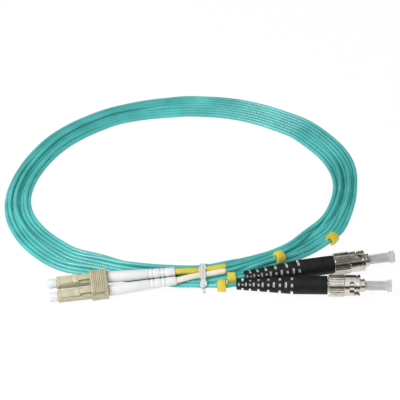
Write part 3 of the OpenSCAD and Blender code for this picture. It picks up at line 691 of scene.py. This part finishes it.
def framed_block(x0, x1, columns, rows, holes):
    """A grid of faces across Y and Z without its holes, drawn out from x0 to x1."""
    bm = bmesh.new()
    bmesh.ops.create_grid(bm, x_segments=len(columns) - 1, y_segments=len(rows) - 1, size=1)
    for vert in bm.verts:
        column = round((vert.co.x + 1) / 2 * (len(columns) - 1))
        row = round((vert.co.y + 1) / 2 * (len(rows) - 1))
        vert.co = (x0, columns[column], rows[row])
    cut_out(bm, lambda c: any(y0 < c.y < y1 and z0 < c.z < z1 for y0, y1, z0, z1 in holes))
    made = bmesh.ops.extrude_face_region(bm, geom=bm.faces[:])["geom"]
    moved = [g for g in made if isinstance(g, bmesh.types.BMVert)]
    bmesh.ops.translate(bm, verts=moved, vec=(x1 - x0, 0, 0))
    flat = [e for e in bm.edges if len(e.link_faces) == 2 and e.calc_face_angle(0) < 0.01]
    bmesh.ops.dissolve_edges(bm, edges=flat, use_verts=True)
    bmesh.ops.recalc_face_normals(bm, faces=bm.faces)
    return bm


windows = [(side * HALF_PITCH - WINDOW, side * HALF_PITCH + WINDOW, -WINDOW, 2.4)
           for side in (-1, 1)]
web = HALF_PITCH - WINDOW
columns = [-CLIP_HALF, WALL - CLIP_HALF, -web, web, CLIP_HALF - WALL, CLIP_HALF]
lower = framed_block(CLIP_START, CLIP_END, columns, [-2.6, -WINDOW, 2.25], windows)
soften(lower, 0.14)
deck = soften(block(CLIP_START + 1.9, CLIP_END, -CLIP_HALF, CLIP_HALF, WINDOW, 3.0), 0.14)
ears = [soften(block(20.2, CLIP_END, y - 0.35, y + 0.35, 2.8, 4.85), 0.25, 3)
        for y in (-5.65, 5.65)]
nub = soften(block(CLIP_START + 0.05, CLIP_START + 1.95, -6.3, -5.8, -2.2, -0.5), 0.15)
piece("clip", together(lower, deck, nub, *ears), SQUARE, "root", "plug_beige", ["duplex_clip"])

# %% [markdown]
# ## The lever
# The lever turns on two stubs in the clip's ears, and pressing it bends both latches at once.
# Its outline is drawn from the side as a comb, with a groove and a rib for each step that the
# finger feels, and given its width. A barrel makes the hinge, and a thin rod the stubs.

# %% The lever
LEVER_HALF = 5.2
HINGE = (21.2, 0, 4.1)
RIBS, RIB_PITCH, RIB_HEIGHT, GROOVE = 6, 0.82, 0.14, 0.26


def lever():
    """The ribbed lever with its hinge barrel and stubs."""
    top = [(14.5, 4.95), (14.9, 5.5), (15.2, 5.62)]
    for k in range(RIBS):
        x = 15.3 + k * RIB_PITCH
        z = 5.5 - 0.085 * (x - 15.6)
        top += [(x, z - GROOVE), (x + 0.34, z - GROOVE), (x + 0.4, z + RIB_HEIGHT),
                (x + RIB_PITCH - 0.06, z + RIB_HEIGHT - 0.04)]
    top += [(20.2, 5.0), (21.2, 4.75), (21.9, 4.35), (21.9, 4.0)]
    under = [(21.2, 3.95), (16.2, 4.35), (15.3, 4.25), (14.5, 4.25)]
    slab = soften(plate(top + under, LEVER_HALF), 0.05, 2, 50)
    barrel = rod(LEVER_HALF - 0.02, 0.68, 24, HINGE)
    stub = rod(5.98, 0.4, 20, HINGE)
    return piece("lever", together(slab, barrel, stub), SQUARE, "trigger", "plug_beige",
                 ["duplex_trigger"])


lever()

# %% [markdown]
# ## White boots
# A boot keeps a leg from kinking where it enters the plug. These are plain tapers with two
# pairs of shallow rings, rounded over at both ends. The inside is drawn too, so that the leg
# really goes in.

# %% White boots
def white_boot(leg):
    """A tapered tube with two pairs of ring grooves."""
    def outer(x):
        """The boot's outside radius at x."""
        return WHITE_R - WHITE_TAPER * x / LC_BOOT_LEN

    rings = [ring(0.02, 1.95), ring(0, 1.95), ring(0, outer(0) - 0.35),
             ring(0.12, outer(0) - 0.1), ring(0.4, outer(0.4))]
    for x in (18.3, 20.1, 23.4, 25.2):
        r = outer(x)
        rings += [ring(x - 0.45, r), ring(x - 0.28, r - 0.06), ring(x - 0.18, r - 0.3),
                  ring(x + 0.18, r - 0.3), ring(x + 0.28, r - 0.06), ring(x + 0.45, r)]
    end = LC_BOOT_LEN
    rings += [ring(end - 0.5, outer(end)), ring(end - 0.15, outer(end) - 0.12),
              ring(end, outer(end) - 0.4), ring(end, 1.1), ring(4.6, 1.1), ring(4.4, 1.95)]
    return piece(f"white_boot_{leg}", loft(rings, joined=True), lc_boot_place(leg), "root",
                 "boot_white", [f"lc_boot_{leg}"])


for leg in "ab":
    white_boot(leg)

# %% [markdown]
# ## Small dust caps
# Each ferrule is kept clean by a little milky cap: a knob outside and a thin spigot that slides
# into the plug's front bore.

# %% Small dust caps
def small_cap(leg):
    """A knob with a blind bore that goes over the ferrule."""
    bm = loft([
        ring(-2.6, 0.3), ring(-2.6, 0.675), ring(3.8, 0.675), ring(3.8, 1.2), ring(3.7, 1.3),
        ring(-0.05, 1.3), ring(-0.05, 1.95), ring(-0.15, 2.1), ring(-0.35, 2.15),
        ring(-3.3, 2.1), ring(-3.65, 1.98), ring(-3.85, 1.7), ring(-3.9, 1.3), ring(-3.9, 0.3),
    ])
    return piece(f"small_cap_{leg}", bm, square_plug(leg), f"lc_cap_{leg}", "cap_white",
                 [f"lc_dust_cap_{leg}"])


for leg in "ab":
    small_cap(leg)

# %% [markdown]
# ## Colour sleeves
# A short stretch of shrink tubing tells the two legs apart: yellow on one, cream on the other.
# A tube that follows the leg is drawn out along the leg's own line.

# %% Sleeves along a leg
def stretch(leg, x0, x1, count=25):
    """A leg's line between two places at the front of the coil, with its ends exactly there."""
    first = routes[leg][:60]
    rising = first[np.maximum.accumulate(first[:, 0]) == first[:, 0]]
    x = np.linspace(x0, x1, count)
    return np.stack([x] + [np.interp(x, rising[:, 0], rising[:, axis]) for axis in (1, 2)], 1)


def colour_sleeve(name, leg, x1, slot, node):
    """A thin tube over a leg from its boot."""
    boot_end = drawn(lc_boot_place(leg), (LC_BOOT_LEN - 0.1, 0, 0)).x
    line = stretch(leg, boot_end, x1)
    outside = follow(
        line, lambda s: SHRINK_R - 0.12 * (max(0, 0.04 - s) + max(0, s - 0.96)) / 0.04)
    bm = loft(outside + follow(line, 1.08)[::-1], joined=True)
    return piece(name, bm, TABLE, "root", slot, [node])


yellow = colour_sleeve("yellow_sleeve_tube", "a", 10.0, "sleeve_yellow", "yellow_sleeve")
cream = colour_sleeve("cream_sleeve_tube", "b", 9.8, "sleeve_white", "white_sleeve")

# %% [markdown]
# ## A skin with holes
# The nuts' sleeves and the black boots are round shells with holes of odd shapes. Each starts
# as a skin, a fine grid of faces round a cylinder. Faces are taken out where a hole is, and
# then the skin gets its wall, whose inside is moved to the radius that the bore has there.

# %% A skin with holes
SKIN_WALL = 0.9


def skin_to_wall(bm, bore):
    """Gives a skin round the X axis a wall, whose inside has the bore's radius at each x."""
    bmesh.ops.recalc_face_normals(bm, faces=bm.faces)
    if sum(f.normal.dot(Vector((0, *f.calc_center_median().yz))) for f in bm.faces) < 0:
        bmesh.ops.reverse_faces(bm, faces=bm.faces)
    skin = set(bm.verts)
    bmesh.ops.solidify(bm, geom=bm.faces[:], thickness=SKIN_WALL)
    for vert in bm.verts:
        if vert not in skin:
            inward = bore(vert.co.x) / hypot(vert.co.y, vert.co.z)
            vert.co.y *= inward
            vert.co.z *= inward
    bmesh.ops.recalc_face_normals(bm, faces=bm.faces)

# %% [markdown]
# ## The nuts' slotted sleeves
# The nut is turned from brass and plated. Its front sleeve has two bayonet slots: a lug of the
# adapter enters from the front, follows the slot as the nut turns, and drops into the round
# seat at its end. The slots' faces are taken out, and the seat's edge is pulled to a circle.

# %% The nuts' slotted sleeves
NUT_LEN, SLEEVE_R, BORE_R, SLOT_W, SLOT_TURN = 14.0, 4.65, 3.75, 2.1, 55
SEAT_X, SEAT_R, SLOT_BACK, SLOT_FRONT = 10.4, 1.25, 9.3, 11.3


def slotted_sleeve():
    """The nut's front sleeve with its two bayonet slots."""
    rows = [7.3, 8.9, 9.3, 9.7, 10.1, 10.5, 10.9, 11.3, 11.7, 12.3, 12.4, 12.75, 12.85, 13.85,
            NUT_LEN]
    around = 144
    radii = [SLEEVE_R] * 10 + [SLEEVE_R - 0.35] * 2 + [SLEEVE_R + 0.1] * 2 + [SLEEVE_R - 0.05]
    bm = loft([ring(x, r, around) for x, r in zip(rows, radii)], shut=False)
    cell = 2 * pi / around * SLEEVE_R
    seat_arc = -radians(SLOT_TURN) * SLEEVE_R
    half_entry = round(SLOT_W / 2 / cell) * cell

    def flat(place, half_turn):
        """A place along the nut and its arc from the slot's entry, unrolled."""
        a = degrees(atan2(place.z, place.y)) - half_turn - 90
        return place.x, radians((a + 180) % 360 - 180) * SLEEVE_R

    def slotted(place):
        """Whether a place is in a slot's entry, its track or its round seat."""
        for half_turn in (0, 180):
            x, arc = flat(place, half_turn)
            entry = abs(arc) < half_entry and x > SLOT_BACK
            track = seat_arc < arc < half_entry and SLOT_BACK < x < SLOT_FRONT
            if entry or track or hypot(x - SEAT_X, arc - seat_arc) < SEAT_R:
                return True
        return False

    cut_out(bm, slotted)
    for vert in bm.verts:
        if not vert.is_boundary or not 8.8 < vert.co.x < 12:
            continue
        for half_turn in (0, 180):
            x, arc = flat(vert.co, half_turn)
            out = hypot(x - SEAT_X, arc - seat_arc)
            if 0.6 < out < SEAT_R + 0.35 and arc < seat_arc + 0.75:
                pulled = seat_arc + (arc - seat_arc) * SEAT_R / out
                a = radians(half_turn + 90) + pulled / SLEEVE_R
                x = SEAT_X + (x - SEAT_X) * SEAT_R / out
                vert.co = (x, SLEEVE_R * cos(a), SLEEVE_R * sin(a))
    skin_to_wall(bm, lambda x: BORE_R)
    return bm

# %% [markdown]
# ## The knurled nuts
# The back of the nut is knurled so that fingers can grip it: broad teeth with narrow grooves
# between them. A section of many points makes the teeth, and it shrinks to a plain ring at
# both ends. The grip is bored wide at the front for the spring and narrow at the back.

# %% The knurled nuts
KNURL_LEN, NUT_R, TEETH, TOOTH = 7.6, 4.9, 26, 0.45


def knurl_ring(x, height):
    """A section with broad teeth, of which the crests stand out by the height."""
    points = []
    for k in range(TEETH):
        for part, out in ((0.06, 1), (0.31, 1), (0.56, 1), (0.68, 0), (0.81, 0), (0.94, 0)):
            a = 2 * pi * (k + part) / TEETH
            r = NUT_R - TOOTH + TOOTH * out * height
            points.append((x, r * cos(a), r * sin(a)))
    return points


def nut(leg, roll):
    """A knurled grip and its slotted sleeve."""
    count = 6 * TEETH
    grip = loft([
        ring(0.75, 3.4, count), ring(0, 3.4, count), ring(0, 4.2, count), knurl_ring(0.08, 0.0),
        knurl_ring(0.45, 0.8), knurl_ring(0.6, 1.0), knurl_ring(KNURL_LEN - 0.6, 1.0),
        knurl_ring(KNURL_LEN - 0.45, 0.8), knurl_ring(KNURL_LEN - 0.1, 0.0),
        ring(KNURL_LEN, 4.3, count), ring(KNURL_LEN, BORE_R, count), ring(1.65, BORE_R, count),
        ring(1.65, 2.46, count), ring(0.75, 2.46, count),
    ], joined=True)
    place = BAYONET[leg] @ Matrix.Rotation(radians(roll), 4, "X")
    return piece(f"nut_{leg}", together(grip, slotted_sleeve()), place, f"st_nut_{leg}",
                 "plated_metal", [f"st_nut_{leg}"], crease=28)


nut("a", 20)
nut("b", -85)

# %% [markdown]
# ## Black boots
# The large boots bend like a spring: pairs of broad notches leave a thin web, and pairs of
# slots lie between them. The skin is a tapered grid with the faces of the cuts taken out. Its
# wall ends on a pale tapered core round the leg, which shows in the cuts.

# %% Black boots
ST_BOOT_LEN, ST_KNEE, BOOT_TIP_R, BOOT_R = 39.8, 15.2, 2.35, 4.1
BOOT_BACK = -0.2 - ST_BOOT_LEN


def boot_radius(x):
    """The boot's outside radius at x."""
    taper = min(1, (x - BOOT_BACK) / (ST_BOOT_LEN - ST_KNEE))
    return BOOT_TIP_R + (BOOT_R - BOOT_TIP_R) * taper


def boot_core(x):
    """The radius at which the boot's wall ends and its pale core begins."""
    return max(1.2, boot_radius(x) - 0.75)


def black_boot(leg, roll):
    """A tapered tube with six pairs of notches, and slots between them."""
    rows = {0.0, 0.25, 25.0, 25.6, 32.0, 39.0, 39.6, ST_BOOT_LEN}
    cuts = []
    for places, thin, sectors in (
        ((2.6, 5.9, 9.6, 13.9, 18.9, 24.2), 0.5, [(48, 54), (228, 54), (318, 14), (138, 14)]),
        ((1.0, 4.1, 7.5, 11.4, 16.3, 21.6), 0.44, [(318, 26), (138, 26)]),
    ):
        for k, x in enumerate(places):
            half = thin + 0.08 * k / 5
            rows |= {x - half, x + half}
            cuts.append((x - half, x + half, sectors))
    ends = (0.0, ST_BOOT_LEN)
    bm = loft([ring(BOOT_BACK + x, boot_radius(BOOT_BACK + x) - (0.16 if x in ends else 0), 80)
               for x in sorted(rows)], shut=False)

    def notched(c):
        """Whether a place is in a cut: between its ends, and in one of its sectors."""
        x, a = c.x - BOOT_BACK, degrees(atan2(c.z, c.y))
        return any(x0 < x < x1 and any(abs((a - m + 180) % 360 - 180) < half
                                       for m, half in sectors) for x0, x1, sectors in cuts)

    cut_out(bm, notched)
    skin_to_wall(bm, lambda x: boot_core(x) if x - BOOT_BACK < 26.5 else 2.5)
    soften(bm, 0.14, 2, 50)
    place = BAYONET[leg] @ Matrix.Rotation(radians(roll), 4, "X")
    return piece(f"black_boot_{leg}", bm, place, "root", "boot_black", [f"st_boot_{leg}"],
                 crease=40)


black_boot("a", 8)
black_boot("b", 0)

# %% [markdown]
# ## The boots' cores
# The core that shows in the cuts is a plain tapered tube round the leg, a hair thinner than
# the boot's bore, so that the two don't touch.

# %% The boots' cores
def boot_liner(leg):
    """The pale tapered core round the leg, which shows through the boot's slots."""
    places = [BOOT_BACK + x for x in (0.7, 6, 12, 18, 26.4)]
    bm = loft([ring(x, boot_core(x) - 0.03, 32) for x in places]
              + [ring(x, 1.02, 32) for x in reversed(places)], joined=True)
    return piece(f"boot_liner_{leg}", bm, BAYONET[leg], "root", "boot_white")


for leg in "ab":
    boot_liner(leg)

# %% [markdown]
# ## Springs
# A spring is a round wire wound on a cylinder. One pushes each small ferrule forward, and one each
# nut back.

# %% Springs
def spring(name, place, node, start, end, middle_r, wire, turns):
    """A wound wire of even pitch."""
    rings, per_turn = [], 24
    for i in range(turns * per_turn + 1):
        a = 2 * pi * i / per_turn
        out = Vector((0, cos(a), sin(a)))
        x = start + wire / 2 + (end - start - wire) * i / (turns * per_turn)
        rings.append([Vector((x, 0, 0)) + (middle_r + wire / 2 * cos(b)) * out
                      + Vector((wire / 2 * sin(b), 0, 0)) for b in np.linspace(0, 2 * pi, 9)[:-1]])
    made = piece(name, loft(rings), place, "root", "spring_steel", [node])
    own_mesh(made)


for leg in "ab":
    spring(f"ferrule_spring_{leg}", square_plug(leg), f"lc_spring_{leg}",
           start=6.6, end=12.8, middle_r=1.3, wire=0.36, turns=6)
    spring(f"nut_spring_{leg}", BAYONET[leg], f"st_spring_{leg}",
           start=2.25, end=8.15, middle_r=2.85, wire=0.5, turns=5)

# %% [markdown]
# ## Frosted caps
# The large caps are soft clear plastic that has been left rough. Each is a tube over the
# ferrule that ends in a flange to pull on, and it butts on the barrel's metal nose.

# %% Frosted caps
def barrel_nose(leg):
    """The metal nose in front of the nut, with a groove round it."""
    bm = loft([
        ring(13.7, 2.25), ring(13.7, 2.9), ring(14.5, 2.9), ring(14.55, 2.6), ring(14.85, 2.6),
        ring(14.9, 2.9), ring(15.9, 2.9), ring(16.05, 2.75), ring(16.05, 1.3), ring(15.85, 1.3),
        ring(15.85, 2.25),
    ], joined=True)
    return piece(f"barrel_nose_{leg}", bm, BAYONET[leg], "root", "plated_metal")


def frosted_cap(leg):
    """A tube and an end flange, hollow almost to the end."""
    s, e = 16.1, 27.65
    bm = loft([
        ring(s, 1.3), ring(s, 1.95), ring(s + 0.1, 2.05), ring(e - 2.5, 2.05),
        ring(e - 2.2, 2.2), ring(e - 2.0, 2.58), ring(e - 1.7, 2.65), ring(e - 0.35, 2.65),
        ring(e - 0.1, 2.55), ring(e, 2.3), ring(e, 0.25), ring(e - 1, 0.25), ring(e - 1, 1.3),
    ], joined=True)
    return piece(f"frosted_cap_{leg}", bm, BAYONET[leg], f"st_cap_{leg}", "cap_frosted",
                 [f"st_dust_cap_{leg}"])


for leg in "ab":
    barrel_nose(leg)
for leg in "ab":
    frosted_cap(leg)

# %% [markdown]
# ## The tie
# The tie is a flat ribbon of clear plastic round a wire. It goes once round the bundle, and its
# two ends are twisted together in front.

# %% The tie
def tie_loop():
    """The ribbon's flat loop, a little uneven, as a hand has pulled it tight."""
    count, power = 56, 0.55
    half_y, half_z, mid_y, mid_z = 6.45, 2.4, 1.75, 2.65
    section = [(-1.7, 0), (-1.5, 0.11), (-0.5, 0.02), (-0.28, 0.2), (0, 0.26), (0.28, 0.2),
               (0.5, 0.02), (1.5, 0.11), (1.7, 0), (1.5, -0.1), (0, -0.14), (-1.5, -0.1)]
    rings = []
    for k in range(count):
        a = 2 * pi * k / count
        y = mid_y + half_y * abs(cos(a)) ** power * (1 if cos(a) >= 0 else -1)
        z = mid_z + half_z * abs(sin(a)) ** power * (1 if sin(a) >= 0 else -1)
        place = Vector((0.25 * sin(3 * a) + 0.12 * sin(7 * a), y, z))
        out = Vector((0, cos(a) / half_y, sin(a) / half_z)).normalized()
        width = 0.78 + 0.16 * sin(5 * a + 0.6) + 0.06 * sin(11 * a)
        lift = 0.16 * sin(9 * a)
        rings.append([place + Vector((x * width, 0, 0)) + out * (t * 1.3 + x * lift)
                      for x, t in section])
    return loft(rings, joined=True)


def twisted_tail():
    """Two ends wound round each other."""
    strands = []
    for phase in (0, pi):
        line = []
        for k in range(41):
            s = k / 40
            a = phase + s * 2 * pi
            spread = 0.3 + 0.5 * max(0, s - 0.75)
            line.append((0.5 * s + spread * cos(a), -4.5 - 2.2 * s, 0.75 + spread * sin(a) * 0.9))
        thick = follow(np.array(line), lambda s: 0.42 if 0.02 < s < 0.98 else 0.36, 10)
        strands.append(loft(thick))
    return together(*strands)


tie = piece("tie", together(tie_loop(), twisted_tail()), TABLE, "root", "tie_clear",
            ["twist_tie"])

# %% [markdown]
# ## Ring markers
# A marker is a moulded saddle that snaps over a leg: a domed body with straight ends, an arched
# top that is a little narrower, and a mouth underneath.

# %% Ring markers
def marker(number):
    """A saddle-shaped ring with its mouth below."""
    (x, y, z), yaw = MARKERS[number]
    count = 40
    outline, inner = [], []
    for k in range(count):
        a = radians(-80 + 340 * k / (count - 1))
        wide = 2.55 if sin(a) > 0 else 2.7
        outline.append((wide * cos(a), 2.75 * sin(a)))
        inner.append((1.15 * cos(a), 1.15 * sin(a)))
    rings = []
    for where, grow in ((-1.98, 0.9), (-1.85, 0.97), (-1.4, 1.0), (0, 1.0), (1.4, 1.0),
                        (1.85, 0.97), (1.98, 0.9)):
        rings.append([(where * (1 - 0.22 * max(0.0, pz / 2.75) ** 2), py * grow, pz * grow)
                      for py, pz in outline] + [(where, py, pz) for py, pz in inner[::-1]])
    bm = loft(rings)
    place = in_frame((x, y, z), (0, 0, yaw))
    return piece(f"ring_marker_{number}", bm, place, "root", "marker_yellow", [f"marker_{number}"])


markers = {number: marker(number) for number in MARKERS}

# %% [markdown]

# %% [markdown]
# ## Tools for nodes
# A material is a tree of nodes with links between them. Small tools keep the making of them
# short: one turns a screen colour into light, one adds a node, and one draws the links.

# %% Tools for nodes
def set_inputs(made, values):
    """Sets a node's inputs, named with underscores for spaces."""
    for name, value in values.items():
        made.inputs[name.replace("_", " ")].default_value = value


def node(tree, kind, settings=None, **values):
    """A new node in a tree, with its settings and its inputs set."""
    made = tree.nodes.new(kind)
    for name, value in (settings or {}).items():
        setattr(made, name, value)
    set_inputs(made, values)
    return made


def wire(tree, *wires):
    """Links nodes: each wire is a node and its output, then a node and its input."""
    for source, output, target, entry in wires:
        tree.links.new(source.outputs[output], target.inputs[entry])


def screen(red, green, blue):
    """A colour as it is seen on a screen, turned into the light that a shader works with."""
    def one(v):
        """One channel, of which the screen's own curve is undone."""
        v /= 255
        return v / 12.92 if v <= 0.04045 else ((v + 0.055) / 1.055) ** 2.4

    return (one(red), one(green), one(blue), 1)

# %% [markdown]
# ## The shared node group
# No plastic is one flat colour. A moulding is a shade lighter here and darker there, and its
# shine changes a little with its skin. One node group makes that drift for every finish, from
# noise at two sizes, and each material mixes it into its own colours.

# %% The shared node group
def drift_group():
    """Colour between two tones, a roughness and a height, all drifting over the surface."""
    group = bpy.data.node_groups.new("Drift", "ShaderNodeTree")
    color, number = "NodeSocketColor", "NodeSocketFloat"
    for name, kind, default in (
        ("Light", color, (0.8, 0.8, 0.8, 1)), ("Dark", color, (0.6, 0.6, 0.6, 1)),
        ("Scale", number, 200.0), ("Grain", number, 4000.0),
        ("Smoothest", number, 0.3), ("Roughest", number, 0.5),
    ):
        socket = group.interface.new_socket(name, in_out="INPUT", socket_type=kind)
        socket.default_value = default
    for name, kind in (("Color", color), ("Roughness", number), ("Height", number)):
        group.interface.new_socket(name, in_out="OUTPUT", socket_type=kind)
    given = node(group, "NodeGroupInput")
    result = node(group, "NodeGroupOutput")
    place = node(group, "ShaderNodeTexCoord")
    broad = node(group, "ShaderNodeTexNoise", Detail=3)
    fine = node(group, "ShaderNodeTexNoise", Detail=2)
    spread = node(group, "ShaderNodeMapRange", From_Min=0.32, From_Max=0.68)
    tone = node(group, "ShaderNodeMix", {"data_type": "RGBA"})
    rough = node(group, "ShaderNodeMix")
    wire(group, (place, "Object", broad, "Vector"), (given, "Scale", broad, "Scale"),
         (place, "Object", fine, "Vector"), (given, "Grain", fine, "Scale"),
         (broad, "Fac", spread, "Value"), (spread, "Result", tone, "Factor"),
         (given, "Light", tone, "A"), (given, "Dark", tone, "B"),
         (fine, "Fac", rough, "Factor"), (given, "Smoothest", rough, "A"),
         (given, "Roughest", rough, "B"), (tone, "Result", result, "Color"),
         (rough, "Result", result, "Roughness"), (fine, "Fac", result, "Height"))
    return group


DRIFT = drift_group()
print("The shared group has", len(DRIFT.nodes), "nodes")

# %% [markdown]
# ## A finish
# Each finish is one shader that takes its colour, its roughness and a very low relief from the
# shared group. What is the same all over, such as how metallic it is, stays on the shader.

# %% A finish
def finish(name, light, dark, scale, grain, rough=(0.3, 0.45), relief=0.00001,
           strength=0.2, **values):
    """A material whose colour, shine and skin drift a little."""
    material = bpy.data.materials.new(name)
    material.use_nodes = True
    tree = material.node_tree
    shader = tree.nodes["Principled BSDF"]
    drift = node(tree, "ShaderNodeGroup", {"node_tree": DRIFT}, Light=screen(*light),
                 Dark=screen(*dark), Scale=scale, Grain=grain, Smoothest=rough[0],
                 Roughest=rough[1])
    bump = node(tree, "ShaderNodeBump", Distance=relief, Strength=strength)
    wire(tree, (drift, "Color", shader, "Base Color"), (drift, "Roughness", shader, "Roughness"),
         (drift, "Height", bump, "Height"), (bump, "Normal", shader, "Normal"))
    set_inputs(shader, values)
    return material

# %% [markdown]
# ## One material for each finish
# The values say what each plastic or metal is like: the jacket is smooth and a little
# shiny, the boots are matt rubber, the nuts are plated, the caps let light through.

# %% The materials
FINISHES = {
    # name, light and dark tone, scale and grain of the drift, roughness, relief and strength
    "aqua_jacket": finish("Aqua jacket", (92, 205, 200), (66, 172, 168), 60, 3000, (0.2, 0.3),
                          strength=0.15, Specular_IOR_Level=0.75),
    "plug_beige": finish("Beige plug plastic", (204, 198, 168), (190, 184, 154), 300, 6000,
                         (0.36, 0.5), strength=0.3),
    "boot_white": finish("White boot rubber", (243, 243, 243), (236, 236, 237), 300, 6000,
                         (0.42, 0.55), strength=0.25),
    "cap_white": finish("Milky cap plastic", (240, 240, 243), (230, 230, 236), 300, 5000,
                        (0.28, 0.4), Subsurface_Weight=0.15, Subsurface_Scale=MM),
    "ceramic": finish("Ceramic", (242, 241, 236), (236, 235, 230), 400, 6000, (0.12, 0.2),
                      0.000005, 0.1),
    "plated_metal": finish("Nickel plate", (224, 220, 210), (198, 194, 184), 500, 7000,
                           (0.1, 0.2), Metallic=1.0),
    "spring_steel": finish("Spring steel", (190, 190, 192), (168, 168, 172), 900, 9000,
                           (0.24, 0.36), Metallic=1.0),
    "boot_black": finish("Black boot rubber", (32, 33, 33), (22, 23, 23), 350, 5000,
                         (0.42, 0.58), 0.00002, 0.4, Specular_IOR_Level=0.2),
    "cap_frosted": finish("Frosted cap plastic", (242, 242, 242), (230, 230, 230), 400, 4000,
                          (0.3, 0.42), 0.00002, 0.3, Transmission_Weight=0.75, IOR=1.35),
    "fibre_buffer": finish("Fibre buffer", (96, 190, 186), (80, 176, 172), 300, 5000),
    "sleeve_yellow": finish("Yellow shrink sleeve", (238, 222, 84), (222, 202, 62), 220, 3500,
                            (0.28, 0.4), 0.00002, 0.25),
    "sleeve_white": finish("Cream shrink sleeve", (252, 245, 231), (246, 237, 220), 220, 3500,
                           (0.28, 0.4), 0.00002, 0.25),
    "tie_clear": finish("Clear tie plastic", (248, 248, 246), (240, 241, 240), 300, 3000,
                        (0.18, 0.34), 0.00003, 0.3, Transmission_Weight=0.25, IOR=1.35),
    "marker_yellow": finish("Yellow marker plastic", (238, 220, 78), (222, 196, 48), 260, 3500,
                            (0.26, 0.4), 0.00002, 0.25, Subsurface_Weight=0.1,
                            Subsurface_Scale=MM),
}

finished = [(made, made["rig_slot"]) for made in bpy.data.objects if made.get("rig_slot")]
finished += [(frame["nodes"][entry["node"]], entry["material_slot"])
             for entry in frame["record"]["subparts"]]
for made, slot in finished:
    made.data.materials.clear()
    made.data.materials.append(FINISHES[slot])
print(len(FINISHES), "finishes are on", len(finished), "pieces and nodes")

# %% [markdown]
# ## The floor
# The cord lies on a white sweep. The floor shows the lens, mirrors and clear plastic a plain
# white that glows by itself, and a little of it stays paper, which keeps a faint shadow.

# %% The floor
def white_floor():
    """A wide floor that looks white to the lens and in reflections, with a faint shadow."""
    bm = bmesh.new()
    bmesh.ops.create_grid(bm, x_segments=1, y_segments=1, size=3)
    bmesh.ops.translate(bm, verts=bm.verts, vec=(0, 0, -0.00002))
    mesh = bpy.data.meshes.new("Floor")
    bm.to_mesh(mesh)
    bm.free()
    floor = bpy.data.objects.new("Floor", mesh)
    bpy.context.scene.collection.objects.link(floor)
    material = bpy.data.materials.new("White floor")
    material.use_nodes = True
    tree = material.node_tree
    tree.nodes.clear()
    output = node(tree, "ShaderNodeOutputMaterial")
    paper = node(tree, "ShaderNodeBsdfDiffuse", Color=(0.9, 0.9, 0.9, 1))
    glow = node(tree, "ShaderNodeEmission", Strength=1.02)
    rays = node(tree, "ShaderNodeLightPath")
    seen, mirrored = (node(tree, "ShaderNodeMath", {"operation": "MAXIMUM"}) for _ in range(2))
    part = node(tree, "ShaderNodeMath", {"operation": "MULTIPLY"})
    part.inputs[1].default_value = 0.92
    mix = node(tree, "ShaderNodeMixShader")
    wire(tree, (rays, "Is Camera Ray", seen, 0), (rays, "Is Glossy Ray", seen, 1),
         (seen, 0, mirrored, 0), (rays, "Is Transmission Ray", mirrored, 1),
         (mirrored, 0, part, 0), (part, 0, mix, "Fac"), (paper, 0, mix, 1), (glow, 0, mix, 2),
         (mix, 0, output, "Surface"))
    mesh.materials.append(material)


white_floor()

# %% [markdown]
# ## The lamps and the studio
# One large soft lamp stands to the upper left, a weaker one fills from the right, and the
# world adds an even glow. Only in a reflection is the world a studio: dark in a band above the
# horizon, and brighter to the left than to the right. That gives bright metal its contrast.

# %% The lamps and the studio
def soft_lamp(name, place, aim_at, size, power):
    """A square lamp that faces a point."""
    data = bpy.data.lights.new(name, "AREA")
    data.size = size
    data.energy = power
    lamp = bpy.data.objects.new(name, data)
    bpy.context.scene.collection.objects.link(lamp)
    lamp.location = place
    lamp.rotation_euler = (Vector(aim_at) - Vector(place)).to_track_quat("-Z", "Y").to_euler()


def studio():
    """An even glow that is a dark band and a bright left side in reflections only."""
    world = bpy.data.worlds.new("Studio")
    bpy.context.scene.world = world
    world.use_nodes = True
    tree = world.node_tree
    background = tree.nodes["Background"]
    background.inputs["Strength"].default_value = 0.5
    look = node(tree, "ShaderNodeTexCoord")
    axes = node(tree, "ShaderNodeSeparateXYZ")
    bands = node(tree, "ShaderNodeValToRGB")
    rays = node(tree, "ShaderNodeLightPath")
    either = node(tree, "ShaderNodeMix", {"data_type": "RGBA"}, A=(1, 1, 1, 1))
    ramp = bands.color_ramp
    for stop, tone in zip(ramp.elements, (0.9, 1.6)):
        stop.color = (tone, tone, tone, 1)
    for place, tone in ((0.22, 0.1), (0.46, 0.04), (0.58, 0.5), (0.72, 1.6)):
        ramp.elements.new(place).color = (tone, tone, tone, 1)
    aside = node(tree, "ShaderNodeMapRange", From_Min=-0.02, From_Max=0.1, To_Min=1.5,
                 To_Max=0.25)
    dimmed = node(tree, "ShaderNodeVectorMath", {"operation": "SCALE"})
    wire(tree, (look, "Generated", axes, 0), (axes, "X", aside, "Value"),
         (aside, "Result", dimmed, "Scale"), (axes, "Z", bands, "Fac"),
         (bands, "Color", dimmed, 0), (rays, "Is Glossy Ray", either, "Factor"),
         (dimmed, "Vector", either, "B"), (either, "Result", background, "Color"))


soft_lamp("Key", (-0.4, -0.25, 0.5), (0, 0.04, 0), 0.4, 3.0)
soft_lamp("Fill", (0.5, -0.4, 0.45), (0, 0.04, 0), 0.5, 0.4)
studio()
bpy.context.scene.view_settings.view_transform = "Standard"
